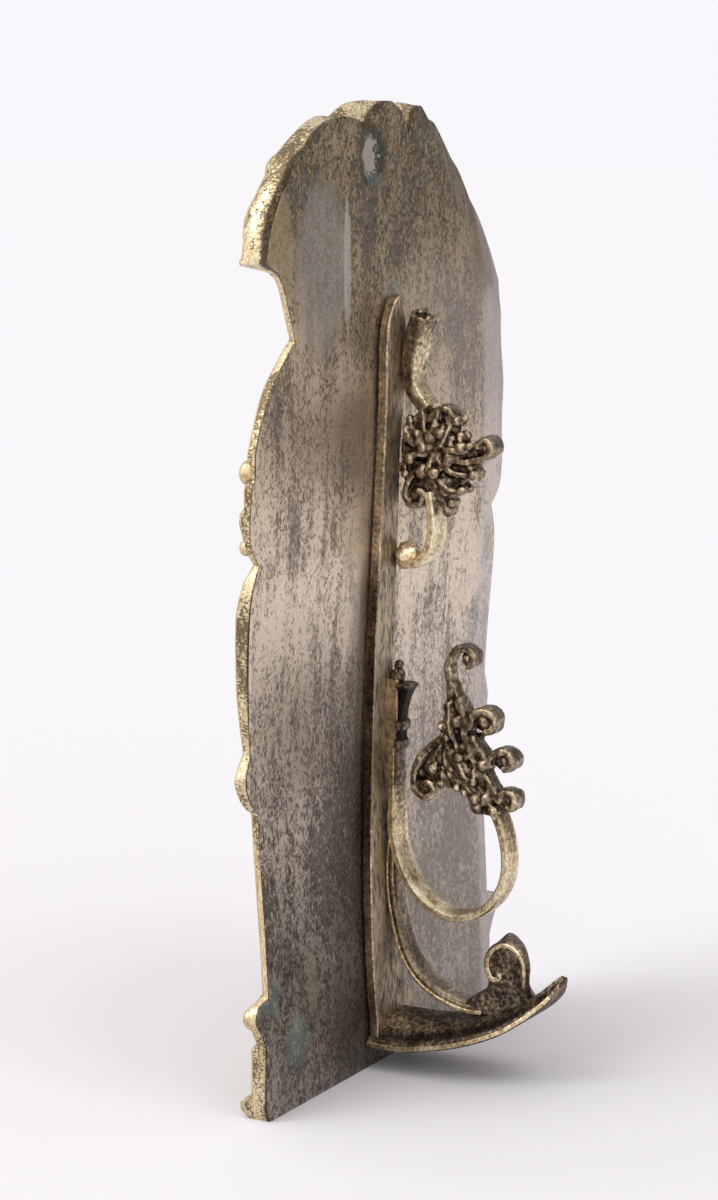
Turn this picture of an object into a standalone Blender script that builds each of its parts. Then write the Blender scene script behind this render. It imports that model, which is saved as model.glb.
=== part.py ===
"""A liturgical pax: a bronze kissing board that stands upright, with a cast scroll handle on its back.

Lengths are in millimetres while the solids are made, and finish() turns them into metres.
X runs along the board, Y runs from its front (-Y) to its handle (+Y), and Z is up.
While a solid is made, y = 0 is the back of the board, and depth is measured from there towards the front.
"""
import math

import bmesh
import bpy
from mathutils import Matrix, Vector

PAST = 60.0                # further out than any part of the board
DEEP = 20.0                # deeper than any part of the front

# The board
BACK_Y = 9.6               # the back stands this far behind the middle of the base
SHEET = 1.8                # thickness of the plain board
PANEL_HALF = 38.6          # the side scrolls stand up outside this half width
CREST_DEPTH = 5.7          # thickness of the shell crest and of the foot of the base
SCROLL_DEPTH = 3.3         # thickness of the side scrolls
SHOULDER_DEPTH = 2.1       # thickness of the edge over the scrolls
NECK_DEPTH = 1.6           # thickness of the hollow under the crest
SCROLL_LOW_Z = 54.0        # the side scrolls run between these two heights
SCROLL_HIGH_Z = 94.5
PANEL_HIGH_Z = 109.0       # the thin middle field ends here
NECK_LOW_Z = 116.0
SHAFT_LOW_Z = 21.6         # top of the base moulding
PLINTH_TOP_Z = 13.0
PLINTH_DEPTH = 3.5
MOULDING_DEPTH = 2.4
FOOT_TOP_Z = 3.2
# The line where the thick crest begins, from the -X side, as (x, z)
CREST_FOOT = ((-PAST, 132.5), (-30.0, 135.5), (-14.0, 129.5), (0.0, 126.5), (14.0, 129.5), (28.0, 139.5),
              (34.0, 143.5), (PAST, 143.5))
# The knob on each side scroll, as x, depth, z, radius and half depth
EDGE_KNOB = (41.8, 2.0, 110.6, 2.2, 1.8)

# The whole board is bowed forwards a little between these heights
BOW = 2.1
BOW_LOW_Z = 13.0
BOW_HIGH_Z = 112.0
BEND_STEP = 9.0            # the solids are cut into bands of this height before they are bent

# The front: a stepped pedestal, a panel frame, a domed glory and a cross
# The pedestal's blocks, as half width, lowest and highest point, and depth
PEDESTAL = ((22.5, -3.0, 17.5, 11.0), (23.0, 16.9, 20.6, 11.5), (9.0, -2.0, 17.4, 18.2), (9.6, 16.8, 20.5, 18.8))
STEP_RISE = 3.0
STEP_DEPTH = 14.0
GLORY = (24.0, 28.0, 7.0)          # half width, half height and depth of the dome behind the cross
SHELL_BOSS = (15.0, 8.0, 9.0)      # the same for the boss that the flutes spread from
FRAME_HALF = 32.0
FRAME_BAND = 3.0
FRAME_DEPTH = 3.2
FRAME_LOW_Z = 24.0
FRAME_SPRING_Z = 96.0
CROSS_Z = 84.0
CROSS_ARM = 17.0
CROSS_HALF = 3.2
CROSS_DEPTH = 9.2
BUD_RADIUS = 4.4
RAY_LENGTH = 21.0
RAY_RADIUS = 1.6

# The shell crest
SHELL_HINGE = (0.0, 127.0)         # the flutes spread from this point
FLUTE_FLOOR = 3.4                  # depth of the valleys between the flutes
FLUTE_AXIS = 2.9                   # depth of the flutes' middle lines
FLUTE_RISE = 2.8                   # how far the flutes stand out from there
# Each flute as its angle in degrees, its length and its half width at the rim
FLUTES = ((32.7, 46.6, 6.4), (47.3, 45.1, 4.2), (67.4, 44.2, 9.4), (91.6, 45.3, 7.0), (107.2, 44.7, 5.6),
          (121.1, 43.9, 6.0), (135.3, 46.4, 5.6), (149.2, 49.5, 6.4), (163.3, 50.3, 5.6))
# Behind the far shoulder the back falls away towards the front: two points of the crease, and the slope
SHOULDER_CREASE = ((-13.5, 167.0), (-34.0, 142.3))
SHOULDER_SLOPE = 0.33

# The handle
GAP = 0.3                  # air between the two castings
STRIP_OUT = 2.2            # outer face of the backing strip, from the back of the board
LEAN_HIGH_Z = 125.0
# The backing strip's two sides and its tip, as (x, z), before the handle is set aslant. It stands straighter than
# the scrolls on it, so its sides aren't alike.
STRIP_NEAR = ((7.6, 5.0), (7.6, 12.0), (8.3, 21.0), (8.2, 29.0), (7.5, 37.5), (6.0, 55.0), (6.0, 77.0), (7.1, 99.0),
              (6.7, 119.0), (6.9, 128.0), (6.3, 132.5), (4.6, 135.6))
STRIP_FAR = ((-7.6, 5.0), (-6.0, 11.0), (-2.0, 14.5), (-1.2, 18.0), (-1.4, 54.0), (-0.6, 76.0), (1.1, 100.0),
             (1.6, 110.0), (-0.6, 127.0), (0.5, 132.5))
STRIP_TIP = (2.4, 137.0)
FOOT_HALF = 7.6
STRAP_HALF = 3.0           # half width of the scroll straps along X
STEM_HALF = 2.4
LEAN = 3.0                 # the handle was set a little aslant: its top is this far towards -X
LEAN_LOW_Z = 45.0

# The edge of the board on its +X side from the table up to the side scroll's top knob, as (x, z) stretches.
# Each stretch is a smooth curve, and it meets the next one in a corner.
LOWER_EDGE = (
    ((40.2, 0.0), (41.0, 3.0), (41.0, 13.0)),
    ((41.0, 13.0), (42.4, 15.6), (44.1, 18.2), (43.4, 20.4), (40.0, 21.6)),
    ((40.0, 21.6), (40.3, 53.2)),
    ((40.3, 53.2), (42.3, 55.2), (43.6, 58.8), (42.3, 63.4)),
    ((42.3, 63.4), (42.7, 68.0), (43.4, 77.0), (43.8, 86.0), (43.2, 91.0), (41.6, 95.2)),
    ((41.6, 95.2), (43.4, 97.0), (44.8, 99.5), (45.0, 104.5), (44.6, 108.2)),
)
# From there to the valley beside the middle flute
NEAR_EDGE = (
    ((44.6, 108.2), (43.6, 110.0), (43.5, 113.8)),
    ((43.5, 113.8), (41.9, 117.7), (38.7, 123.6), (34.0, 128.2), (30.7, 131.0)),
    ((30.7, 131.0), (32.4, 135.4), (34.2, 139.8), (36.0, 142.4)),
    ((36.0, 142.4), (39.8, 144.4)),
    ((39.8, 144.4), (38.6, 149.0), (35.6, 154.4), (32.7, 157.6)),
    ((32.7, 157.6), (30.0, 160.6), (26.3, 162.4)),
    ((26.3, 162.4), (22.0, 165.6), (14.7, 167.4), (8.6, 166.4), (5.4, 164.4)),
)
# The middle flute, and the -X side down to its side scroll's top knob
FAR_EDGE = (
    ((5.4, 164.4), (3.2, 167.8), (-1.2, 170.0), (-5.6, 168.4), (-7.7, 165.2)),
    ((-7.7, 165.2), (-9.4, 167.8), (-12.6, 168.8), (-16.4, 166.4)),
    ((-16.4, 166.4), (-20.2, 165.4), (-24.6, 161.8), (-27.2, 159.4)),
    ((-27.2, 159.4), (-31.5, 156.6), (-35.6, 151.6)),
    ((-35.6, 151.6), (-39.6, 148.4), (-43.6, 142.6), (-46.3, 136.5)),
    ((-46.3, 136.5), (-44.2, 132.0), (-43.9, 126.0), (-45.0, 118.0), (-44.6, 112.0), (-44.6, 108.2)),
)

# The handle's straps, as (y, z) centre lines from the board outwards
RING = ((3.3, 57.0), (3.3, 50.0), (3.3, 44.0), (4.1, 38.6), (6.2, 33.6), (9.6, 30.0), (14.2, 28.4), (18.8, 29.2),
        (22.6, 32.0), (25.0, 36.0), (25.7, 40.4), (25.1, 45.0), (23.4, 49.0))
LOWER_SCROLL = ((3.0, 34.0), (3.4, 27.0), (4.6, 21.8), (6.6, 18.0), (9.4, 15.4), (13.0, 13.6), (17.0, 12.4),
                (21.5, 11.8), (26.0, 12.4))
VOLUTE_NECK = ((25.9, 19.0), (24.8, 11.0))
UPPER_SCROLL = ((8.0, 101.0), (12.4, 100.6), (16.6, 104.2), (20.2, 106.8), (21.2, 110.6), (19.0, 112.4))
UPPER_LOOP = ((8.2, 103.0), (9.1, 98.6), (9.3, 95.0), (8.2, 91.8), (5.8, 90.3), (3.2, 91.0))
STEM = ((5.0, 133.6), (3.6, 128.0), (3.5, 123.6), (5.0, 119.6), (8.2, 115.6))
CURL_STEM = ((18.0, 76.3), (15.6, 75.2), (14.8, 71.4), (15.4, 66.0), (17.6, 60.0))
FOOT_UNDER = ((GAP, 4.0), (6.5, 4.0), (12.5, 5.1), (18.5, 6.7), (25.5, 9.6), (31.0, 13.4), (34.4, 17.0),
              (35.8, 20.2))
FOOT_TOP = ((34.4, 20.2), (31.6, 17.2), (28.1, 15.0), (22.8, 12.3), (16.9, 10.5), (10.9, 9.6), (5.0, 9.4), (GAP, 9.4))

# Volutes and curls that end the straps, as (y, z, radius, half width)
VOLUTES = (
    (25.5, 21.4, 4.3, 3.2),
    (18.9, 110.9, 2.3, 2.6),
    (18.2, 74.2, 2.5, 2.3),
    (22.2, 63.2, 2.5, 2.4),
    (26.0, 56.9, 2.1, 2.2),
    (26.7, 50.2, 1.9, 2.2),
    (9.4, 50.4, 2.0, 2.2),
)
# Leaf clusters, as ellipsoids: centre (x, y, z), half axes (x, y, z) and turn about X in degrees
LEAVES = (
    ((0.0, 10.6, 110.4), (4.2, 4.6, 7.6), 20),
    ((1.4, 6.2, 104.6), (3.6, 3.6, 6.4), -10),
    ((-1.6, 13.4, 106.4), (3.6, 4.6, 3.6), 40),
    ((0.6, 5.6, 112.4), (3.4, 2.8, 4.4), 0),
    ((0.0, 12.0, 101.4), (3.0, 3.2, 3.0), 0),
    ((0.0, 19.4, 58.0), (4.4, 4.2, 8.4), -28),
    ((0.8, 15.2, 55.4), (3.8, 5.2, 3.8), 20),
    ((-0.6, 23.0, 53.0), (3.6, 3.4, 5.4), -20),
    ((0.0, 20.6, 50.0), (3.2, 2.8, 4.0), 15),
    ((0.0, 12.6, 53.0), (2.8, 4.4, 2.2), -25),
)
# Round knobs, as (y, z, radius)
KNOBS = ((3.6, 91.4, 2.2), (3.0, 71.6, 1.5), (12.6, 116.6, 1.9))
# The broken capital on the strip, as (z, half width, reach from the board)
CAPITAL = ((57.0, 3.1, 4.9), (59.0, 3.1, 5.6), (60.6, 2.7, 4.9), (62.6, 2.9, 5.6), (64.0, 2.5, 4.8),
           (66.6, 2.6, 5.2), (69.0, 3.3, 6.6))

# How a flat outline's own axes lie: its two axes and the way it is extruded
ON_FACE = Matrix(((1, 0, 0, 0), (0, 0, -1, 0), (0, 1, 0, 0), (0, 0, 0, 1)))
ON_SIDE = Matrix(((0, 0, 1, 0), (1, 0, 0, 0), (0, 1, 0, 0), (0, 0, 0, 1)))

BRONZE = {
    "plaque": ((0.42, 0.32, 0.20, 1.0), 0.42),
    "handle": ((0.27, 0.19, 0.09, 1.0), 0.38),
}


def clear_scene():
    for obj in list(bpy.data.objects):
        bpy.data.objects.remove(obj, do_unlink=True)


def smooth(points, steps):
    """Points along a Catmull-Rom curve that runs through the given ones, with the last one left in."""
    if len(points) < 3:
        return [Vector(p) for p in points]
    knots = [Vector(p) for p in points]
    knots = [2 * knots[0] - knots[1]] + knots + [2 * knots[-1] - knots[-2]]
    curve = []
    for a, b, c, d in zip(knots, knots[1:], knots[2:], knots[3:]):
        for k in range(steps):
            t = k / steps
            curve.append(0.5 * (2 * b + (c - a) * t + (2 * a - 5 * b + 4 * c - d) * t ** 2
                                + (3 * b - a - 3 * c + d) * t ** 3))
    return curve + [knots[-2]]


def edge(stretches, steps):
    """One run of points from stretches that meet in corners."""
    run = []
    for stretch in stretches:
        run += smooth(stretch, steps)[:-1]
    return run + [Vector(stretches[-1][-1])]


def board_outline(steps=3):
    near = edge(LOWER_EDGE + NEAR_EDGE, steps)
    far = edge(FAR_EDGE, steps)
    lower = [Vector((-p.x, p.y)) for p in reversed(edge(LOWER_EDGE, steps))]
    return near + far[1:] + lower[1:]


def new_object(name, mesh):
    obj = bpy.data.objects.new(name, mesh)
    bpy.context.scene.collection.objects.link(obj)
    return obj


def evaluated_mesh(obj):
    bpy.context.view_layer.update()
    return bpy.data.meshes.new_from_object(obj.evaluated_get(bpy.context.evaluated_depsgraph_get()))


def slab(outline, low, high, lie):
    """A flat outline with straight walls, from low to high along the way it is extruded."""
    data = bpy.data.curves.new("outline", "CURVE")
    data.dimensions = "2D"
    data.fill_mode = "BOTH"
    data.extrude = (high - low) / 2
    spline = data.splines.new("POLY")
    spline.points.add(len(outline) - 1)
    for point, place in zip(spline.points, outline):
        point.co = (place[0], place[1], 0.0, 1.0)
    spline.use_cyclic_u = True
    curve = new_object("outline", data)
    mesh = evaluated_mesh(curve)
    bpy.data.objects.remove(curve, do_unlink=True)
    bm = bmesh.new()
    bm.from_mesh(mesh)
    bmesh.ops.remove_doubles(bm, verts=bm.verts, dist=0.0001)
    bmesh.ops.recalc_face_normals(bm, faces=bm.faces)
    bm.transform(lie @ Matrix.Translation((0, 0, (low + high) / 2)))
    bm.to_mesh(mesh)
    bm.free()
    return new_object("slab", mesh)


def box(x, y, z):
    """A block between two values along each axis."""
    mesh = bpy.data.meshes.new("box")
    bm = bmesh.new()
    bmesh.ops.create_cube(bm, size=1.0)
    size = Matrix.Diagonal((x[1] - x[0], y[1] - y[0], z[1] - z[0], 1))
    bm.transform(Matrix.Translation((sum(x) / 2, sum(y) / 2, sum(z) / 2)) @ size)
    bm.to_mesh(mesh)
    bm.free()
    return new_object("box", mesh)


def ball(centre, radii, turn=0.0, segments=10, rings=7):
    """An ellipsoid, turned about X by some degrees."""
    mesh = bpy.data.meshes.new("ball")
    bm = bmesh.new()
    bmesh.ops.create_uvsphere(bm, u_segments=segments, v_segments=rings, radius=1.0)
    place = Matrix.Translation(centre) @ Matrix.Rotation(math.radians(turn), 4, "X")
    bm.transform(place @ Matrix.Diagonal((*radii, 1)))
    bm.to_mesh(mesh)
    bm.free()
    return new_object("ball", mesh)


def spindle(start, end, radius_start, radius_end, segments=10):
    """A round bar or cone between two points."""
    axis = Vector(end) - Vector(start)
    mesh = bpy.data.meshes.new("spindle")
    bm = bmesh.new()
    bmesh.ops.create_cone(bm, cap_ends=True, segments=segments, radius1=radius_start, radius2=radius_end,
                          depth=axis.length)
    turn = axis.to_track_quat("Z", "Y").to_matrix().to_4x4()
    bm.transform(Matrix.Translation((Vector(start) + Vector(end)) / 2) @ turn)
    bm.to_mesh(mesh)
    bm.free()
    return new_object("spindle", mesh)


def combine(body, tools, operation):
    """Joins the tools to the body, or cuts them out of it, one after another."""
    for tool in tools:
        step = body.modifiers.new("step", "BOOLEAN")
        step.operation = operation
        step.object = tool
        mesh = evaluated_mesh(body)
        body.modifiers.remove(step)
        old = body.data
        body.data = mesh
        bpy.data.meshes.remove(old)
        bpy.data.objects.remove(tool, do_unlink=True)
    return body


def strap(line, half_thick, half_width, steps=3, middle=0.0):
    """A flat bar that follows a centre line in the handle's own plane; half_thick is its start and end value."""
    points = smooth(line, steps)
    left, right = [], []
    for k, point in enumerate(points):
        before = points[max(k - 1, 0)]
        after = points[min(k + 1, len(points) - 1)]
        along = (after - before).normalized()
        across = Vector((-along.y, along.x))
        share = k / (len(points) - 1)
        half = half_thick[0] + (half_thick[1] - half_thick[0]) * share
        left.append(point + across * half)
        right.append(point - across * half)
    return slab(left + right[::-1], middle - half_width, middle + half_width, ON_SIDE)


def taper(obj, width_at):
    """Narrows a handle piece along X by a share that depends on where each point is."""
    for vert in obj.data.vertices:
        vert.co.x *= width_at(vert.co)
    return obj


def foot_share(point):
    """How wide the foot is at a point, as a share of its full width: full at the board, a point at the tip."""
    reach = max(0.0, min(1.0, (point.y - 20.0) / 16.2))
    return math.sqrt(max(0.0, 1.0 - reach ** 2)) * 0.97 + 0.03


def field_cuts():
    """What is cut away from the front of a blank as deep as the crest, as slabs."""
    def band(low_z, high_z, depth, half=PAST):
        return slab([(-half, low_z), (half, low_z), (half, high_z), (-half, high_z)], depth, DEEP, ON_FACE)

    return [
        slab(CREST_FOOT + ((PAST, NECK_LOW_Z), (-PAST, NECK_LOW_Z)), NECK_DEPTH, DEEP, ON_FACE),
        band(SCROLL_HIGH_Z, NECK_LOW_Z + 0.5, SHOULDER_DEPTH),
        band(SCROLL_LOW_Z - 0.2, SCROLL_HIGH_Z + 0.2, SCROLL_DEPTH),
        band(SCROLL_LOW_Z - 0.4, PANEL_HIGH_Z, SHEET, PANEL_HALF),
        band(SHAFT_LOW_Z, SCROLL_LOW_Z, SHEET),
        band(PLINTH_TOP_Z, SHAFT_LOW_Z + 0.2, MOULDING_DEPTH),
        band(FOOT_TOP_Z, PLINTH_TOP_Z + 0.2, PLINTH_DEPTH),
    ]


def arch(half, low_z, spring_z):
    """An upright panel with a round head."""
    count = 12
    head = [(half * math.cos(math.pi * k / count), spring_z + half * math.sin(math.pi * k / count))
            for k in range(count + 1)]
    return [(-half, low_z), (half, low_z)] + head


def panel_frame():
    frame = slab(arch(FRAME_HALF, FRAME_LOW_Z, FRAME_SPRING_Z), SHEET / 2, FRAME_DEPTH, ON_FACE)
    hollow = slab(arch(FRAME_HALF - FRAME_BAND, FRAME_LOW_Z + FRAME_BAND, FRAME_SPRING_Z), 0.0, 9.0, ON_FACE)
    return combine(frame, [hollow], "DIFFERENCE")


def half_ball(z, size, segments=16, rings=10):
    """A low oval dome on the front; size is its half width, half height and depth."""
    dome = ball((0.0, 0.0, z), (size[0], size[2], size[1]), segments=segments, rings=rings)
    return combine(dome, [box((-PAST, PAST), (-0.6, DEEP), (z - PAST, z + PAST))], "DIFFERENCE")


def cross():
    """A plain cross with round buds on its arms, on a domed glory with short rays, and three steps under it."""
    foot_z = PEDESTAL[1][2] - 0.5
    glory = half_ball(CROSS_Z, GLORY, 20, 12)
    parts = [box((-CROSS_HALF, CROSS_HALF), (-CROSS_DEPTH, -0.7), (foot_z, CROSS_Z + CROSS_ARM)),
             box((-CROSS_ARM, CROSS_ARM), (0.4 - CROSS_DEPTH, -0.8), (CROSS_Z - CROSS_HALF, CROSS_Z + CROSS_HALF))]
    for x, z in ((CROSS_ARM, CROSS_Z), (-CROSS_ARM, CROSS_Z), (0.0, CROSS_Z + CROSS_ARM)):
        parts.append(ball((x, 2.9 - CROSS_DEPTH, z), (BUD_RADIUS, 3.6, BUD_RADIUS), 17))
    for ray in range(8):
        angle = math.radians(27 + 90 * (ray // 2) + 36 * (ray % 2))
        reach = Vector((math.cos(angle), 0.18, math.sin(angle))) * RAY_LENGTH
        middle = Vector((0.0, -GLORY[2], CROSS_Z))
        parts.append(spindle(middle, middle + reach, RAY_RADIUS, 0.6, 6))
    for step in range(3):
        half = 13.4 - 3.6 * step
        low = foot_z + STEP_RISE * step
        parts.append(box((-half, half), (-STEP_DEPTH + 1.6 * step, -0.9), (low, low + STEP_RISE + 0.4)))
    return combine(glory, parts, "UNION")


def shell():
    """The flutes: flattened cones that spread from the hinge and reach past the board's outline."""
    cones = []
    for degrees, length, half in FLUTES:
        angle = math.radians(degrees)
        hinge = Vector((SHELL_HINGE[0], 0.0, SHELL_HINGE[1]))
        rim = hinge + Vector((math.cos(angle), 0.0, math.sin(angle))) * length
        cone = spindle(hinge, rim, 1.4, half, 12)
        flatten = Matrix.Diagonal((1.0, FLUTE_RISE / half, 1.0, 1.0))
        cone.data.transform(Matrix.Translation((0.0, -FLUTE_AXIS, 0.0)) @ flatten)
        cones.append(cone)
    return cones


def shoulder_cut():
    """The wedge that is filed off the back of the far shoulder."""
    high, low = (Vector((x, 0.0, z)) for x, z in SHOULDER_CREASE)
    along = (low - high).normalized()
    across = Vector((along.z, 0.0, -along.x))
    down = (across + Vector((0.0, -SHOULDER_SLOPE, 0.0))).normalized()
    out = down.cross(along)
    if out.y < 0:
        out = -out
    wedge = box((-20.0, 60.0), (0.0, 40.0), (0.0, 20.0))
    lie = Matrix((along, down, out)).transposed().to_4x4()
    wedge.data.transform(Matrix.Translation(high) @ lie)
    if lie.determinant() < 0:
        wedge.data.flip_normals()
    return wedge


def make_plaque():
    """A thick blank, carved from the front, built up again in relief, and sawn out along the board's outline."""
    blank = box((-PAST + 5.0, PAST - 5.0), (-CREST_DEPTH, 0.0), (-5.0, 178.0))
    valleys = box((-PAST, PAST), (-DEEP, -FLUTE_FLOOR), (110.0, 190.0))
    combine(blank, field_cuts() + [valleys], "DIFFERENCE")
    pedestal = [box((-half, half), (-depth, -0.5), (low, high)) for half, low, high, depth in PEDESTAL]
    raised = shell() + [half_ball(SHELL_HINGE[1] + 3.0, SHELL_BOSS)] + pedestal + [panel_frame(), cross()]
    combine(blank, raised, "UNION")
    combine(blank, [shoulder_cut()], "DIFFERENCE")
    combine(blank, [slab(board_outline(), -2.0, 2 * DEEP, ON_FACE)], "INTERSECT")
    x, depth, z, radius, half_depth = EDGE_KNOB
    knobs = [ball((side * x, -depth, z), (radius, half_depth, radius), segments=8, rings=6) for side in (-1, 1)]
    return combine(blank, knobs, "UNION")


def make_strip():
    """The backing strip: it widens towards the foot and ends in a point on top."""
    return slab(STRIP_NEAR + (STRIP_TIP,) + STRIP_FAR[::-1], -STRIP_OUT, -GAP, ON_FACE)


def make_handle():
    body = make_strip()
    foot = taper(slab(smooth(FOOT_UNDER, 2) + smooth(FOOT_TOP, 2), -FOOT_HALF, FOOT_HALF, ON_SIDE), foot_share)
    parts = [
        foot,
        strap(RING, (1.35, 0.85), STRAP_HALF),
        strap(LOWER_SCROLL, (0.9, 1.5), STRAP_HALF),
        strap(UPPER_LOOP, (0.9, 0.9), STEM_HALF),
        strap(UPPER_SCROLL, (1.2, 1.0), STEM_HALF + 0.2),
        strap(STEM, (1.9, 1.7), STEM_HALF),
        strap(CURL_STEM, (0.8, 1.6), STEM_HALF - 0.4),
        strap(VOLUTE_NECK, (3.4, 4.2), STRAP_HALF),
    ]
    for y, z, radius, half in VOLUTES:
        parts.append(spindle((-half, y, z), (half, y, z), radius, radius, 14))
    for y, z, radius in KNOBS:
        parts.append(ball((0.0, y, z), (radius, radius, radius), segments=8, rings=6))
    for centre, radii, turn in LEAVES:
        parts.append(ball(centre, radii, turn))
    for (low, half, reach), (high, _, _) in zip(CAPITAL, CAPITAL[1:]):
        parts.append(box((-half, half), (STRIP_OUT - 0.8, reach), (low, high + 0.15)))
    return combine(body, parts, "UNION")


def bow_at(z):
    share = max(0.0, min(1.0, (z - BOW_LOW_Z) / (BOW_HIGH_Z - BOW_LOW_Z)))
    return -BOW * math.sin(math.pi * share) ** 2


def lean_at(z):
    return -LEAN * max(0.0, z - LEAN_LOW_Z) / (LEAN_HIGH_Z - LEAN_LOW_Z)


def finish(obj, name, slanted):
    """Bends the solid to the board's bow, sets the handle aslant, and turns millimetres into metres."""
    bm = bmesh.new()
    bm.from_mesh(obj.data)
    bmesh.ops.remove_doubles(bm, verts=bm.verts, dist=0.0001)
    heights = [BOW_LOW_Z + BEND_STEP * k for k in range(int((BOW_HIGH_Z - BOW_LOW_Z) / BEND_STEP) + 1)]
    for height in heights:
        bmesh.ops.bisect_plane(bm, geom=bm.verts[:] + bm.edges[:] + bm.faces[:], dist=0.0001,
                               plane_co=(0, 0, height), plane_no=(0, 0, 1))
    bmesh.ops.triangulate(bm, faces=bm.faces)
    for vert in bm.verts:
        if slanted:
            vert.co.x += lean_at(vert.co.z)
        vert.co.y += bow_at(vert.co.z) + BACK_Y
    bm.transform(Matrix.Scale(0.001, 4))
    bm.to_mesh(obj.data)
    bm.free()
    obj.name = name
    obj.data.name = name
    colour, roughness = BRONZE[name]
    material = bpy.data.materials.new(name + "_bronze")
    material.use_nodes = True
    shader = material.node_tree.nodes["Principled BSDF"]
    shader.inputs["Base Color"].default_value = colour
    shader.inputs["Metallic"].default_value = 1.0
    shader.inputs["Roughness"].default_value = roughness
    obj.data.materials.clear()
    obj.data.materials.append(material)
    obj.data.shade_smooth()
    obj.data.set_sharp_from_angle(angle=math.radians(35))
    return obj


def main():
    clear_scene()
    parts = bpy.data.collections.new("pax")
    bpy.context.scene.collection.children.link(parts)
    for obj, name, slanted in ((make_plaque(), "plaque", False), (make_handle(), "handle", True)):
        finish(obj, name, slanted)
        parts.objects.link(obj)
        bpy.context.scene.collection.objects.unlink(obj)


main()
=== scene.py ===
"""Looks for a liturgical pax seen from behind: a worn gilt bronze board with a cast scroll handle.

Shapes are made in millimetres: X along the board, Z up, y = 0 on the back of the board, with the handle
towards +Y and the relief towards -Y. A depth is counted from the back towards the relief.
settle() then leans the handle, bows the casting and turns it into metres.
"""
import math
import random

import bmesh
import bpy
import numpy as np
from mathutils import Matrix, Vector, noise
from mathutils.geometry import delaunay_2d_cdt
from mathutils.kdtree import KDTree


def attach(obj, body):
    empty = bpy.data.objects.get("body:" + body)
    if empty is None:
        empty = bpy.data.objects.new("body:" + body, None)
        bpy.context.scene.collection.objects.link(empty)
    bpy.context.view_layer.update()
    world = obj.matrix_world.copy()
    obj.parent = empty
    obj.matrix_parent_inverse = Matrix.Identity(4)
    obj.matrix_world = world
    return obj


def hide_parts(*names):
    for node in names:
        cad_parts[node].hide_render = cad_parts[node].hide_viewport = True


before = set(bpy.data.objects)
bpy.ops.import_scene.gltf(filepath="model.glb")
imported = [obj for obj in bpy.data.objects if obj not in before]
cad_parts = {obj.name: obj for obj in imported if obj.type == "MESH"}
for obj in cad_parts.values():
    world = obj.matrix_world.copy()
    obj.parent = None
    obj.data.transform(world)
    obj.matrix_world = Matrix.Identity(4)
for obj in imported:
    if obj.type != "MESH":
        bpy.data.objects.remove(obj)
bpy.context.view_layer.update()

# The casting as a whole
BACK_Y = 9.6               # the back of the board stands this far behind the middle of the base
BOW = 2.1                  # the board bends forwards this much between the two heights
BOW_LOW_Z = 13.0
BOW_HIGH_Z = 112.0
LEAN = 3.0                 # the handle's top leans this far towards -X
LEAN_LOW_Z = 45.0
LEAN_HIGH_Z = 125.0
WHOLE_HEIGHT = 170.0

# The board
SHEET = 1.8                # thickness of the plain board
RIM_STEP = 0.42            # spacing of the points along its edge
WALL_ROWS = 9
# The edge on the +X side from the table to the top knob of the side scroll, as (x, z) stretches that meet in corners
LOWER_EDGE = (
    ((40.2, 0.0), (41.0, 3.0), (41.0, 13.0)),
    ((41.0, 13.0), (42.4, 15.6), (44.1, 18.2), (43.4, 20.4), (40.0, 21.6)),
    ((40.0, 21.6), (40.3, 53.2)),
    ((40.3, 53.2), (42.3, 55.2), (43.6, 58.8), (42.3, 63.4)),
    ((42.3, 63.4), (42.7, 68.0), (43.4, 77.0), (43.8, 86.0), (43.2, 91.0), (41.6, 95.2)),
    ((41.6, 95.2), (43.4, 97.0), (44.8, 99.5), (45.0, 104.5), (44.6, 108.2)),
)
# From there to the far side's top knob. A stretch of the crest has a second line for its front lip, because the
# shell's lobes spread towards the front.
UPPER_EDGE = (
    (((44.6, 108.2), (43.6, 110.0), (43.5, 113.8)), None),
    (((43.5, 113.8), (41.9, 117.7), (38.7, 123.6), (34.0, 128.2), (30.7, 131.0)), None),
    (((30.7, 131.0), (32.4, 135.4), (34.2, 139.8), (36.0, 142.4)), None),
    (((36.0, 142.4), (39.8, 144.4)), ((36.0, 142.4), (40.3, 144.4))),
    (((39.8, 144.4), (38.6, 149.0), (35.6, 154.4), (32.7, 157.6)),
     ((40.3, 144.4), (39.2, 149.3), (36.4, 154.5), (32.9, 158.2))),
    (((32.7, 157.6), (30.0, 160.6), (26.3, 162.4)), ((32.9, 158.2), (30.2, 160.9), (26.4, 163.4))),
    (((26.3, 162.4), (22.0, 165.6), (14.7, 167.4), (8.6, 166.4), (5.4, 164.4)),
     ((26.4, 163.4), (22.4, 165.5), (18.1, 166.9), (15.0, 167.5), (12.4, 167.3))),
    (((5.4, 164.4), (3.2, 167.8), (-1.2, 169.8), (-5.9, 167.4), (-8.0, 163.9)),
     ((12.4, 167.3), (8.1, 169.2), (2.9, 169.8), (-2.8, 169.7), (-8.8, 168.0))),
    (((-8.0, 163.9), (-9.8, 167.2), (-12.6, 168.8), (-16.4, 166.4)),
     ((-8.8, 168.0), (-12.2, 169.3), (-15.8, 168.8), (-19.0, 167.0))),
    (((-16.4, 166.4), (-20.2, 165.4), (-24.6, 161.8), (-27.2, 159.4)),
     ((-19.0, 167.0), (-22.0, 165.2), (-25.2, 161.8), (-27.2, 159.4))),
    (((-27.2, 159.4), (-31.5, 156.6), (-35.6, 151.6)), None),
    (((-35.6, 151.6), (-39.6, 148.4), (-43.6, 142.6), (-46.3, 136.5)), None),
    (((-46.3, 136.5), (-44.2, 132.0), (-43.9, 126.0), (-45.0, 118.0), (-44.6, 112.0), (-44.6, 108.2)), None),
)
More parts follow.
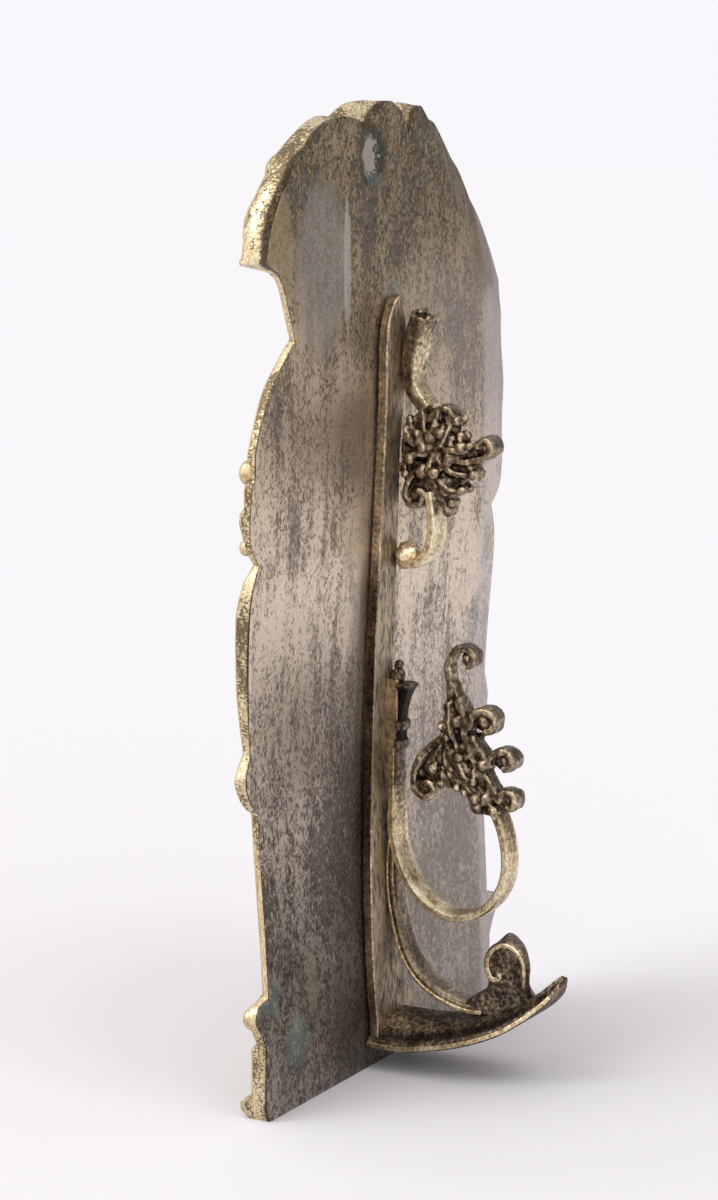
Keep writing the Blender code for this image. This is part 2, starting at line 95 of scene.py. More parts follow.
# Depth of the edge against height, for either side
RIM_DEPTH = ((0.0, 4.4), (0.5, 5.2), (1.4, 5.8), (3.1, 5.8), (3.4, 3.5), (12.8, 3.5), (13.2, 2.3), (17.5, 2.5),
             (21.4, 2.3), (21.8, 1.7), (53.0, 1.8), (53.6, 2.5), (59.0, 2.9), (62.4, 2.3), (63.6, 1.9), (68.0, 2.4),
             (74.0, 2.9), (87.0, 3.3), (92.5, 2.7), (95.2, 1.7), (99.5, 1.8), (102.8, 2.7), (105.4, 1.8), (108.2, 2.1),
             (114.0, 2.1), (130.4, 2.1))
NEAR_DEPTH = RIM_DEPTH + ((131.4, 1.6), (141.4, 1.7), (142.8, 2.6), (143.8, 6.3), (170.0, 6.3))
FAR_DEPTH = RIM_DEPTH + ((133.5, 3.0), (137.0, 5.4), (142.0, 6.3), (170.0, 6.3))
EDGE_ROUND = 0.45          # the front edge is rounded by this much, and the crest's by this much more
CREST_ROUND = 0.20
CREST_BELLY = 0.75         # the crest's edge swells outwards
SHOULDER_CREASE = ((-13.5, 167.0), (-34.0, 142.3))   # beyond this line the back falls away
SHOULDER_SLOPE = 0.33
# The drop-shaped casting hollow under the middle flute, as centre x and z, and half width and height
HOLLOW = (5.6, 160.4, 3.5, 4.6)
HOLLOW_DEPTH = 0.7

# Round knobs on the side scrolls, as x, depth, z, radius and half thickness
EDGE_KNOBS = ((42.4, 2.2, 110.6, 2.1, 1.5), (43.6, 1.8, 103.6, 1.3, 1.2), (43.3, 1.8, 98.4, 1.4, 1.2),
              (42.4, 2.2, 18.4, 1.9, 1.4))

# The shell crest
SHELL_HINGE = (0.0, 127.0)
FLUTE_FLOOR = 3.4
FLUTE_AXIS = 2.9
FLUTE_RISE = 2.8
FLUTE_ROOT = 1.4
RIM_FLOOR = 5.1            # between the flutes the crest rises to this depth at its edge
# Each flute as its angle in degrees, its length and its half width at the rim
FLUTES = ((32.7, 46.6, 6.4), (47.3, 45.1, 4.2), (67.4, 44.2, 9.4), (91.6, 45.3, 7.0), (107.2, 44.7, 5.6),
          (121.1, 43.9, 6.0), (135.3, 46.4, 5.6), (149.2, 49.5, 6.4), (163.3, 50.3, 5.6))
CREST_FOOT = ((-60.0, 132.5), (-30.0, 135.5), (-14.0, 129.5), (0.0, 126.5), (14.0, 129.5), (28.0, 139.5),
              (34.0, 143.5), (60.0, 143.5))
BOSS = (0.0, 130.0, 15.0, 8.0, 9.0)      # centre x and z, half width, half height, depth
GLORY = (0.0, 84.0, 24.0, 28.0, 7.0)

# The front pieces
FRAME_HALF = 32.0
FRAME_BAND = 3.0
FRAME_LOW_Z = 24.0
FRAME_SPRING_Z = 96.0
FRAME_MIDDLE = 2.05
FRAME_THICK = 1.15
RAY_LENGTH = 21.0
RAY_PROUD = 0.25
RAY_THICK = 1.3
RAY_THIN = 0.6
PEDESTAL = ((22.5, 0.0, 17.5, 11.0), (23.0, 16.9, 20.6, 11.5), (9.0, 0.0, 17.4, 18.2), (9.6, 16.8, 20.5, 18.8))
CROSS_Z = 84.0
CROSS_ARM = 17.0
CROSS_HALF = 3.0
CROSS_DEPTH = 9.1
BUD_RADIUS = 4.2

# The handle
GAP = 0.3
STRIP_OUT = 2.2
# The backing strip's sides and its tip, as (x, z); it stands straighter than the scrolls on it
STRIP_NEAR = ((6.8, 5.0), (6.9, 9.2), (7.5, 12.0), (8.3, 21.0), (8.2, 29.0), (7.5, 37.5), (6.0, 55.0), (6.0, 77.0), (7.1, 99.0),
              (6.7, 119.0), (6.9, 128.0), (6.3, 132.5), (4.6, 135.6))
STRIP_FAR = ((-7.6, 5.0), (-6.0, 11.0), (-2.0, 14.5), (-1.2, 18.0), (-1.4, 54.0), (-0.6, 76.0), (1.1, 100.0),
             (1.6, 110.0), (-0.6, 127.0), (0.5, 132.5))
STRIP_TIP = (2.4, 137.0)
# The straps' centre lines, as (y, z)
RING_STEM = ((4.1, 57.4), (4.0, 52.0), (3.8, 46.5), (3.7, 42.0))
RING = ((3.7, 46.0), (3.6, 43.0), (4.2, 38.6), (6.2, 33.6), (9.6, 30.0), (14.2, 28.4), (18.8, 29.2), (22.6, 32.0),
        (25.0, 36.0), (25.7, 40.4), (25.1, 45.0), (23.4, 49.0))
LOWER_SCROLL = ((3.7, 41.0), (3.1, 37.0), (2.9, 32.0), (3.4, 27.0), (4.6, 21.8), (6.6, 18.0), (9.4, 15.4), (13.0, 13.6),
                (17.0, 12.6), (20.6, 12.6))
UPPER_LOOP = ((8.2, 103.0), (9.1, 98.6), (9.3, 95.0), (8.2, 91.8), (5.8, 90.3), (3.2, 91.0))
STEM = ((5.7, 133.2), (4.4, 129.0), (3.7, 124.0), (4.4, 120.4), (7.0, 117.2))
STEM_TOP = ((7.2, 132.9), (4.3, 133.7), (5.6, 134.0))
FOOT_UNDER = ((0.3, 4.0), (6.5, 4.0), (12.5, 5.1), (18.5, 6.7), (25.5, 9.6), (31.0, 13.4), (34.4, 17.0), (35.6, 20.0))
FOOT_RIDGE = ((0.3, 9.4), (5.0, 9.4), (10.9, 9.6), (16.9, 10.5), (22.8, 12.3), (28.1, 15.0), (31.6, 17.4),
              (34.2, 19.8), (34.9, 20.3))
VOLUTE = ((20.4, 12.0), (24.3, 11.8), (28.0, 12.8), (29.7, 15.2), (29.2, 18.4), (29.4, 21.4), (28.9, 23.5),
          (27.4, 25.2), (25.3, 25.8), (22.8, 24.7), (21.3, 22.5), (21.1, 20.3), (21.9, 18.2), (21.2, 16.4),
          (19.0, 15.2), (17.4, 13.6))
VOLUTE_RIM = ((28.9, 18.2), (28.9, 21.4), (28.4, 23.2), (27.1, 24.6), (25.3, 25.1), (23.2, 24.1), (22.0, 22.3),
              (21.9, 20.5), (22.7, 18.8), (24.0, 18.9), (24.3, 20.0))
VOLUTE_HALF = 2.9
VOLUTE_FLAT = 1.2          # from here on the volute narrows towards the far side
VOLUTE_DRAFT = 0.57
# The broken capital in front of the strip, as z, half width, nearest and furthest y
CAPITAL = ((56.6, 1.7, 3.5, 4.7), (57.3, 2.0, 3.9, 5.3), (58.4, 2.0, 3.9, 5.4), (58.9, 1.5, 4.2, 5.0),
           (60.1, 1.5, 4.2, 5.0), (60.6, 1.9, 4.0, 5.6), (61.8, 1.9, 4.0, 5.7), (62.3, 1.4, 4.4, 5.1),
           (64.2, 1.4, 4.5, 5.4), (66.0, 1.6, 4.5, 5.8), (67.5, 1.9, 4.3, 6.4), (68.4, 2.3, 4.0, 7.0),
           (68.8, 1.9, 4.2, 6.4))
CAPITAL_X = -0.35
WEB = ((-1.6, 0.9), (1.9, 4.3), (50.0, 69.4))
FOOT_HALF = 7.5
# The leaf clusters, all in (y, z): the core's outline, bands across the whole width as (half width, half thickness,
# line), bosses as (y, z, radius, half width), and veins on either face as (distance from the middle, half thickness,
# line)
UPPER_CORE = ((6.0, 117.4), (8.4, 116.4), (10.6, 113.6), (13.8, 111.2), (17.0, 111.6), (17.6, 109.0), (14.8, 105.0),
              (12.2, 101.4), (10.6, 100.2), (8.2, 101.8), (5.4, 102.9), (2.8, 104.5), (2.2, 108.8), (2.4, 113.0),
              (4.4, 115.6))
UPPER_BANDS = (
    (2.4, 0.75, ((8.6, 108.6), (11.6, 108.9), (14.6, 108.6), (16.8, 108.9), (18.6, 109.6), (19.8, 110.6), (19.7, 112.0),
                 (18.6, 112.6), (17.5, 112.0), (17.4, 110.9))),
    (2.6, 0.80, ((7.3, 107.2), (5.1, 106.0), (3.9, 103.8), (3.8, 101.8), (5.2, 100.5), (6.9, 101.1), (7.3, 102.7),
                 (6.0, 103.2))),
    (2.2, 0.70, ((8.0, 116.0), (9.4, 117.3), (11.2, 117.4), (12.2, 116.2), (11.4, 114.9))),
)
UPPER_BOSSES = ((18.5, 111.1, 1.3, 2.2), (5.4, 102.4, 1.5, 2.4), (4.6, 112.2, 2.0, 2.6), (6.6, 106.6, 2.2, 2.9),
                (13.2, 109.6, 2.2, 2.4), (11.0, 104.6, 2.2, 2.5), (8.0, 112.6, 1.8, 2.8), (9.6, 108.8, 1.8, 2.7))
UPPER_VEINS = (
    (1.9, 0.75, ((6.4, 119.0), (6.3, 116.9), (6.9, 114.4), (7.0, 111.3), (8.1, 109.3))),
    (1.8, 0.80, ((9.0, 116.6), (9.1, 113.8), (11.1, 112.4), (13.6, 112.7))),
    (2.2, 0.75, ((8.4, 109.5), (10.8, 107.9), (13.6, 106.4), (16.4, 106.4))),
    (2.5, 0.70, ((8.1, 108.6), (9.8, 105.8), (12.3, 103.7), (14.4, 103.6))),
    (1.8, 0.75, ((7.6, 108.2), (8.7, 104.8), (10.7, 101.8), (11.8, 99.8))),
    (2.6, 0.65, ((7.8, 109.5), (5.4, 109.4), (3.6, 108.2), (3.3, 105.9))),
    (2.3, 0.65, ((6.8, 110.6), (4.6, 111.5), (3.3, 113.5), (3.9, 115.2))),
    (3.0, 0.60, ((8.7, 109.6), (8.6, 107.0), (9.7, 104.4), (10.9, 103.5))),
    (2.5, 0.60, ((8.8, 110.4), (10.5, 111.5), (12.0, 114.4), (11.4, 115.9))),
    (2.7, 0.55, ((10.6, 110.4), (12.6, 110.6), (14.6, 110.2), (15.8, 111.4))),
)
LOWER_CORE = ((14.0, 66.0), (14.3, 70.0), (15.6, 70.0), (17.9, 64.0), (20.0, 56.9), (22.0, 51.8), (23.6, 47.4), (21.6, 47.4), (19.4, 47.4),
              (17.9, 50.4), (15.4, 51.2), (12.4, 51.8), (9.9, 53.0), (9.0, 55.4), (11.7, 58.0), (13.3, 61.0))
LOWER_BANDS = (
    (2.2, 0.85, ((16.4, 67.4), (17.6, 64.4), (18.9, 62.4), (19.3, 64.0), (20.6, 65.3), (22.4, 65.4), (23.6, 64.2),
                 (23.3, 62.6), (21.9, 61.9))),
    (2.1, 0.80, ((19.4, 60.2), (21.2, 57.9), (22.6, 56.2), (23.1, 57.6), (24.4, 58.6), (26.0, 58.8), (27.3, 57.7),
                 (26.8, 56.2), (25.4, 55.8))),
    (2.0, 0.80, ((20.4, 56.6), (22.8, 52.8), (24.6, 50.2), (25.0, 51.3), (26.4, 51.8), (27.7, 50.8), (27.3, 49.4),
                 (26.0, 49.0))),
    (2.2, 0.80, ((14.2, 60.6), (12.0, 58.8), (9.4, 56.2), (8.1, 53.0), (8.4, 50.4), (10.2, 49.3), (11.8, 50.2),
                 (11.5, 51.8), (10.2, 51.8))),
    (1.7, 0.80, ((16.8, 61.0), (15.6, 64.4), (14.8, 68.6), (14.2, 73.0), (15.0, 75.3), (17.0, 76.2), (18.8, 75.3),
                 (18.9, 73.6), (17.7, 73.0))),
)
LOWER_BOSSES = ((17.6, 74.2, 1.3, 1.6), (21.7, 63.8, 2.2, 1.7), (25.2, 57.4, 2.0, 1.7), (26.1, 50.6, 1.9, 1.7),
                (10.0, 51.2, 1.6, 1.9), (11.4, 54.6, 1.8, 2.2), (20.4, 48.6, 1.5, 2.6), (22.4, 50.6, 1.6, 2.7),
                (16.6, 53.4, 1.8, 2.5), (13.6, 53.6, 1.6, 2.4), (13.2, 62.0, 1.0, 2.3), (14.4, 63.6, 0.9, 2.1),
                (20.0, 58.6, 1.6, 2.2), (17.4, 62.6, 1.5, 1.9))
LOWER_VEINS = (
    (2.3, 0.75, ((14.8, 66.6), (15.5, 61.9), (18.0, 56.8), (21.4, 51.9), (23.8, 48.2))),
    (2.7, 0.70, ((13.8, 60.9), (16.2, 57.2), (18.9, 52.6), (20.7, 48.6))),
    (2.4, 0.65, ((16.1, 61.1), (14.8, 57.9), (15.5, 54.0), (16.5, 51.7))),
    (2.4, 0.65, ((14.9, 60.1), (12.8, 57.0), (12.9, 53.9), (13.4, 52.0))),
    (1.9, 0.70, ((17.6, 63.4), (18.6, 59.8), (20.8, 55.4), (22.8, 51.4))),
    (2.9, 0.55, ((15.4, 60.2), (17.4, 56.6), (19.8, 52.8), (21.9, 49.8))),
)


# Small helpers

def smoothstep(value, low, high):
    t = np.clip((value - low) / (high - low), 0.0, 1.0)
    return t * t * (3.0 - 2.0 * t)


def along(points, count):
    """count + 1 points at equal distances along a smooth curve that runs through the given ones."""
    knots = np.array(points, float)
    if len(knots) == 2:
        fine = knots
    else:
        knots = np.vstack((2 * knots[0] - knots[1], knots, 2 * knots[-1] - knots[-2]))
        t = np.linspace(0.0, 1.0, 25)[:-1, None]
        runs = [0.5 * (2 * b + (c - a) * t + (2 * a - 5 * b + 4 * c - d) * t ** 2 + (3 * b - a - 3 * c + d) * t ** 3)
                for a, b, c, d in zip(knots, knots[1:], knots[2:], knots[3:])]
        fine = np.vstack(runs + [knots[-2]])
    reach = np.concatenate(([0.0], np.cumsum(np.linalg.norm(np.diff(fine, axis=0), axis=1))))
    places = np.linspace(0.0, reach[-1], count + 1)
    return np.column_stack([np.interp(places, reach, fine[:, k]) for k in range(fine.shape[1])])


def length_of(points):
    line = along(points, 40)
    return float(np.linalg.norm(np.diff(line, axis=0), axis=1).sum())


def new_object(name, mesh):
    obj = bpy.data.objects.new(name, mesh)
    bpy.context.scene.collection.objects.link(obj)
    return obj


def mesh_object(name, verts, faces):
    mesh = bpy.data.meshes.new(name)
    mesh.from_pydata([tuple(v) for v in verts], [], [tuple(f) for f in faces])
    return new_object(name, mesh)


def turn_outwards(obj, merge=0.001):
    """Merges doubles and points every face of a closed shell outwards."""
    bm = bmesh.new()
    bm.from_mesh(obj.data)
    bmesh.ops.remove_doubles(bm, verts=bm.verts, dist=merge)
    bmesh.ops.recalc_face_normals(bm, faces=bm.faces)
    bm.to_mesh(obj.data)
    bm.free()
    return obj


def bake(obj):
    """Turns the object's modifiers into its plain mesh."""
    bpy.context.view_layer.update()
    name = obj.name
    mesh = bpy.data.meshes.new_from_object(obj.evaluated_get(bpy.context.evaluated_depsgraph_get()))
    bpy.data.objects.remove(obj, do_unlink=True)
    return new_object(name, mesh)


def join(name, parts):
    """One object from several plain ones, which keep their materials."""
    bm = bmesh.new()
    mesh = bpy.data.meshes.new(name)
    slots = []
    for part in parts:
        start = len(bm.faces)
        bm.from_mesh(part.data)
        bm.faces.ensure_lookup_table()
        own = list(part.data.materials) or [None]
        for material in own:
            if material not in slots:
                slots.append(material)
        for face in bm.faces[start:]:
            face.material_index = slots.index(own[min(face.material_index, len(own) - 1)])
        bpy.data.objects.remove(part, do_unlink=True)
    bm.to_mesh(mesh)
    bm.free()
    for material in slots:
        mesh.materials.append(material)
    return new_object(name, mesh)


def linear(code):
    """A colour from its sRGB hex value."""
    parts = [int(code[k:k + 2], 16) / 255 for k in (1, 3, 5)]
    return tuple(c / 12.92 if c <= 0.04045 else ((c + 0.055) / 1.055) ** 2.4 for c in parts) + (1.0,)


def node(tree, kind, *inputs, out=0, stops=(), **settings):
    """Adds a node with its settings and links and returns one of its outputs. The inputs are values or sockets, in
    order or in a dictionary. Stops fill a colour ramp with hex colours, or a curve with numbers."""
    made = tree.nodes.new(kind)
    for name, value in settings.items():
        setattr(made, name, value)
    given = inputs[0] if inputs and isinstance(inputs[0], dict) else dict(enumerate(inputs))
    for key, value in given.items():
        if isinstance(value, bpy.types.NodeSocket):
            tree.links.new(value, made.inputs[key])
        else:
            made.inputs[key].default_value = value
    if kind == "ShaderNodeValToRGB":
        marks = made.color_ramp.elements
        while len(marks) < len(stops):
            marks.new(1.0)
        for mark, (place, code) in zip(marks, stops):
            mark.position = place
            mark.color = linear(code)
    elif stops:
        points = made.mapping.curves[0].points
        while len(points) < len(stops):
            points.new(0.5, 0.5)
        for point, place in zip(points, stops):
            point.location = place
        made.mapping.update()
    return made.outputs[out] if made.outputs else made


# Materials

SOFT = {"interpolation_type": "SMOOTHSTEP"}


def new_material(name):
    material = bpy.data.materials.new(name)
    material.use_nodes = True
    tree = material.node_tree
    coords = node(tree, "ShaderNodeTexCoord", out="Object")
    return material, tree, tree.nodes["Principled BSDF"], coords


def grain(tree, coords, size_mm, stretch=1.0, detail=4.0, rough=0.6, offset=0.0):
    """A noise whose blots are about size_mm across, drawn out along Z by stretch."""
    place = node(tree, "ShaderNodeMapping", {"Vector": coords, "Location": (offset,) * 3,
                                             "Scale": (1.0, 1.0, 1.0 / stretch)})
    return node(tree, "ShaderNodeTexNoise", {"Vector": place, "Scale": 1000.0 / size_mm, "Detail": detail,
                                             "Roughness": rough})


def weighed(tree, base, *parts):
    """A base value plus each pattern's departure from a half, times its weight."""
    total = node(tree, "ShaderNodeMath", base, -0.5 * sum(weight for _, weight in parts), operation="ADD")
    for value, weight in parts:
        total = node(tree, "ShaderNodeMath", value, weight, total, operation="MULTIPLY_ADD")
    return total


def layered(tree, colour, *coats):
    """Lays coats over a colour. Each coat is where it lies, how strong it is at most, and its colour."""
    for share, most, coat in coats:
        amount = node(tree, "ShaderNodeMath", share, most, operation="MULTIPLY", use_clamp=True)
        coat = linear(coat) if isinstance(coat, str) else coat
        colour = node(tree, "ShaderNodeMix", {0: amount, 6: colour, 7: coat}, out=2, data_type="RGBA")
    return colour


def patch(tree, coords, centre, reach, ragged, pattern):
    """1 inside an ellipse given in millimetres as (x, z), fading out over a ragged edge."""
    place = node(tree, "ShaderNodeMapping", {"Vector": coords, "Scale": (1000.0 / reach[0], 0.0, 1000.0 / reach[1]),
                                             "Location": (-centre[0] / reach[0], 0.0, -centre[1] / reach[1])})
    far = node(tree, "ShaderNodeVectorMath", place, operation="LENGTH", out="Value")
    return node(tree, "ShaderNodeMapRange", weighed(tree, far, (pattern, ragged)), 1.15, 0.75, **SOFT)


def highest(tree, values):
    total = values[0]
    for value in values[1:]:
        total = node(tree, "ShaderNodeMath", total, value, operation="MAXIMUM")
    return total


def tall(tree, coords):
    """The height as a share of the whole, and the X coordinate in millimetres."""
    x = node(tree, "ShaderNodeSeparateXYZ", coords)
    height = node(tree, "ShaderNodeMath", x.node.outputs["Z"], 1000.0 / WHOLE_HEIGHT, operation="MULTIPLY")
    return height, node(tree, "ShaderNodeMath", x, 1000.0, operation="MULTIPLY")


def rubbed_gilding():
    """Fire gilding on cast bronze, rubbed nearly away on the flat back: satin beige metal in the middle, olive brown
    at the crest and dark at the base, with fine grey-brown oxide flecks drawn out upright by wiping, a grey scoured
    patch under the crest, brown haze beside the handle that is partly dirt and partly painted shade, painted light
    on the far side and beside the strip, a painted sheen along the far edge, and a few spots of verdigris."""
    material, tree, shader, coords = new_material("rubbed_gilding")
    height, x = tall(tree, coords)
    pores = grain(tree, coords, 0.30, 1.8, 2.0, 0.6, 5.0)
    fleck = grain(tree, coords, 0.40, 1.8, 4.0, 0.7)
    speck = grain(tree, coords, 1.1, 1.4, 5.0, 0.75, 2.0)
    blot = grain(tree, coords, 2.8, 1.6, 5.0, 0.65, 3.0)
    streak = grain(tree, coords, 2.6, 9.0, 3.0, 0.55, 7.0)
    cloud = grain(tree, coords, 15.0, 1.6, 3.0, 0.6, 11.0)
    level = weighed(tree, height, (streak, 0.10), (cloud, 0.12))
    light = node(tree, "ShaderNodeValToRGB", level, stops=(
        (0.0, "#aba29a"), (0.14, "#a79d93"), (0.24, "#bdb0a3"), (0.34, "#dacbbb"), (0.50, "#eedfcc"),
        (0.60, "#e2d0ba"), (0.70, "#c9b69f"), (0.80, "#b09c82"), (0.90, "#9a8769"), (1.0, "#b3a07a")))
    dark = node(tree, "ShaderNodeValToRGB", level, stops=(
        (0.0, "#45403b"), (0.15, "#3a3530"), (0.24, "#403934"), (0.36, "#695f56"), (0.50, "#83776c"),
        (0.62, "#77695c"), (0.74, "#5c5044"), (0.86, "#4c4135"), (1.0, "#453b2c")))
    density = node(tree, "ShaderNodeFloatCurve", {"Value": height}, stops=(
        (0.0, 0.52), (0.12, 0.55), (0.20, 0.58), (0.30, 0.55), (0.40, 0.49), (0.50, 0.44), (0.62, 0.47), (0.74, 0.50),
        (0.88, 0.55), (1.0, 0.58)))
    spots = weighed(tree, density, (fleck, 1.05), (speck, 0.80), (blot, 0.25), (streak, 0.32), (cloud, 0.45))
    # A pale grey band along the far edge: a painted sheen, the bright room mirrored in the rim as it curves forward.
    far_edge_painted_sheen = node(tree, "ShaderNodeMapRange", x, -35.5, -38.5, **SOFT)
    oxide = node(tree, "ShaderNodeMapRange", spots, 0.44, 0.60, **SOFT)
    pits = node(tree, "ShaderNodeMapRange", spots, 0.60, 0.74, **SOFT)
    # Brown haze beside and above the handle: partly dirt, partly painted shade next to the strip and the stem.
    beside = patch(tree, coords, (8.5, 16.0), (11.0, 44.0), 0.9, blot)
    above = patch(tree, coords, (9.0, 120.0), (10.0, 16.0), 1.3, blot)
    # Paler towards the far side, low down and above the middle: painted light, the far side lit more than the near
    # side.
    far_side_painted_light = node(tree, "ShaderNodeMath", node(tree, "ShaderNodeMapRange", x, 2.0, -12.0, **SOFT),
                   node(tree, "ShaderNodeFloatCurve", {"Value": height}, stops=(
                       (0.0, 0.6), (0.25, 0.75), (0.40, 0.35), (0.55, 0.0), (0.66, 0.30), (0.78, 0.50), (0.88, 0.0),
                       (1.0, 0.0))), operation="MULTIPLY")
    bluish = node(tree, "ShaderNodeMapRange", weighed(tree, 0.5, (streak, 1.0), (cloud, 0.8)), 0.55, 0.68, **SOFT)
    facet = patch(tree, coords, (38.0, 146.0), (6.5, 13.0), 0.1, blot)
    scoured = patch(tree, coords, (22.5, 142.5), (8.6, 15.5), 0.9, speck)
    salt = node(tree, "ShaderNodeMapRange", weighed(tree, 0.5, (fleck, 1.0), (speck, 0.5)), 0.42, 0.60, **SOFT)
    ridge = patch(tree, coords, (13.8, 142.0), (1.3, 11.5), 0.9, blot)
    shoulder = patch(tree, coords, (-37.0, 141.0), (6.0, 7.0), 1.0, blot)
    # A paler patch on the near side of the strip at mid height: painted light over the shade and dim reflection next to
    # the strip.
    clear = patch(tree, coords, (10.0, 87.0), (4.5, 13.0), 0.7, blot)
    crust = patch(tree, coords, (5.2, 160.8), (4.7, 5.4), 2.2, speck)
    residue = patch(tree, coords, (5.2, 160.6), (2.5, 3.4), 3.0, speck)
    verdigris = [patch(tree, coords, spot, reach, 1.9, blot) for spot, reach in (
        ((39.5, 21.5), (3.4, 3.6)), ((-2.8, 135.6), (3.2, 3.4)), ((-36.6, 74.4), (2.2, 4.6)), ((4.6, 156.6), (2.0, 1.3)),
        ((31.0, 12.0), (4.0, 5.0)))]
    green = node(tree, "ShaderNodeMath", highest(tree, verdigris),
                 node(tree, "ShaderNodeMapRange", fleck, 0.36, 0.56, **SOFT), operation="MULTIPLY")
    drip = patch(tree, coords, (26.0, 20.5), (1.8, 6.0), 1.3, blot)
    scratch = patch(tree, coords, (32.0, 74.0), (0.35, 15.0), 2.2, speck)
    colour = layered(
        tree, light, (pores, 0.45, "#a8947a"), (oxide, 0.86, dark), (pits, 0.75, "#352d27"), (bluish, 0.35, "#77736f"),
        (beside, 0.50, "#40362c"), (above, 0.12, "#40362c"), (far_side_painted_light, 0.45, "#c6bab0"), (facet, 0.50, "#a3926b"),
        (scoured, 0.50, layered(tree, linear("#54504b"), (salt, 1.0, "#bdb8b1"))), (ridge, 0.55, "#c6c1b9"),
        (clear, 0.40, "#d8c9b6"), (far_edge_painted_sheen, 0.62, "#c6bfbc"), (shoulder, 0.50, "#86755f"), (crust, 0.88, "#333a34"), (residue, 0.75, "#b5ac9f"),
        (green, 0.50, "#6f857f"), (drip, 0.45, "#a39c7c"), (scratch, 0.55, "#cbc0ae"))
    tree.links.new(colour, shader.inputs["Base Color"])
    dull = highest(tree, (node(tree, "ShaderNodeMath", oxide, 0.5, operation="MULTIPLY"), scoured, green, residue))
    tree.links.new(node(tree, "ShaderNodeMapRange", dull, 0.0, 1.0, 0.36, 0.60), shader.inputs["Roughness"])
    tree.links.new(node(tree, "ShaderNodeMapRange", dull, 0.0, 1.0, 1.0, 0.6), shader.inputs["Metallic"])
    relief = weighed(tree, pores, (oxide, -0.8))
    tree.links.new(node(tree, "ShaderNodeBump", {"Strength": 0.5, "Distance": 0.0001, "Height": relief}),
                   shader.inputs["Normal"])
    return material


def filed_edge():
    """Bright gilding on an edge that was filed square to the face: pale gold with file marks, brown oxide left in its
    pores and in patches on the side scrolls, and a dark line along the arris of the back."""
    material, tree, shader, coords = new_material("filed_gilt_edge")
    height, _ = tall(tree, coords)
    share = node(tree, "ShaderNodeAttribute", attribute_name="edge_share", out="Fac")
    file_marks = grain(tree, coords, 0.40, 3.0, 3.0, 0.6, 2.0)
    fleck = grain(tree, coords, 0.50, 1.0, 4.0, 0.7)
    blot = grain(tree, coords, 7.0, 1.6, 4.0, 0.65, 4.0)
    hatch = grain(tree, coords, 0.7, 0.35, 2.0, 0.5, 9.0)
    stain = node(tree, "ShaderNodeFloatCurve", {"Value": height}, stops=(
        (0.0, 0.62), (0.12, 0.54), (0.30, 0.50), (0.40, 0.56), (0.455, 0.72), (0.485, 0.76), (0.52, 0.58), (0.58, 0.52),
        (0.66, 0.64), (0.78, 0.57), (0.93, 0.62), (1.0, 0.66)))
    spots = weighed(tree, stain, (fleck, 0.8), (blot, 0.9), (file_marks, 0.5), (hatch, 0.4))
    oxide = node(tree, "ShaderNodeMapRange", spots, 0.57, 0.70, **SOFT)
    crest = node(tree, "ShaderNodeMapRange", height, 0.82, 0.87, 0.0, 0.13)
    share = node(tree, "ShaderNodeMath", share, crest, operation="SUBTRACT")
    arris = node(tree, "ShaderNodeMapRange", weighed(tree, share, (fleck, 0.45), (blot, 0.35)), 0.20, 0.08, **SOFT)
    metal = node(tree, "ShaderNodeValToRGB", file_marks, stops=((0.36, "#c0a87e"), (0.5, "#dcc9a2"), (0.64, "#f1e7cf")))
    colour = layered(tree, metal, (oxide, 0.88, "#55462f"), (arris, 0.92, "#33291f"))
    tree.links.new(colour, shader.inputs["Base Color"])
    shader.inputs["Metallic"].default_value = 1.0
    tree.links.new(node(tree, "ShaderNodeMapRange", oxide, 0.0, 1.0, 0.27, 0.5), shader.inputs["Roughness"])
    relief = weighed(tree, file_marks, (oxide, -1.0))
    tree.links.new(node(tree, "ShaderNodeBump", {"Strength": 0.7, "Distance": 0.00012, "Height": relief}),
                   shader.inputs["Normal"])
    return material


def cast_bronze(name, share, stops, spread=0.9, streaky=1.0, dull=0.44, bright=0.26,
                tarnish=((0.0, 0.5), (1.0, 0.5))):
    """Cast and chased bronze: gilding left on the high points, brown-black oxide in the hollows and the pores.
    The stops run from the hollows to the high points. Tarnish gives the gilding left against height, a half for all."""
    material, tree, shader, coords = new_material(name)
    relief = node(tree, "ShaderNodeAttribute", attribute_name="relief", out="Fac")
    fleck = grain(tree, coords, 0.7, streaky, 5.0, 0.7)
    blot = grain(tree, coords, 4.0, 1.3 * streaky, 3.0, 0.6, 4.0)
    level = weighed(tree, share, (fleck, spread), (blot, 0.45),
                    (node(tree, "ShaderNodeFloatCurve", {"Value": tall(tree, coords)[0]}, stops=tarnish), 1.0))
    level = node(tree, "ShaderNodeMath", relief, 0.13, level, operation="MULTIPLY_ADD")
    tree.links.new(node(tree, "ShaderNodeValToRGB", level, stops=stops), shader.inputs["Base Color"])
    shader.inputs["Metallic"].default_value = 1.0
    tree.links.new(node(tree, "ShaderNodeMapRange", level, 0.3, 0.75, dull, bright), shader.inputs["Roughness"])
    pitted = grain(tree, coords, 0.5, 1.0, 4.0, 0.65)
    tree.links.new(node(tree, "ShaderNodeBump", {"Strength": 0.5, "Distance": 0.00012, "Height": pitted}),
                   shader.inputs["Normal"])
    return material


# The board

def rim_lines():
    """The edge as two closed lines of matching points, on the back and on the front lip."""
    back, lip = [], []
    runs = [(stretch, None) for stretch in LOWER_EDGE] + list(UPPER_EDGE)
    runs += [(tuple((-x, z) for x, z in stretch[::-1]), None) for stretch in LOWER_EDGE[::-1]]
    runs.append((((-40.2, 0.0), (40.2, 0.0)), None))
    for stretch, front in runs:
        count = max(2, round(length_of(stretch) / RIM_STEP))
        back.append(along(stretch, count)[:-1])
        lip.append(along(front or stretch, count)[:-1])
    return np.vstack(back), np.vstack(lip)


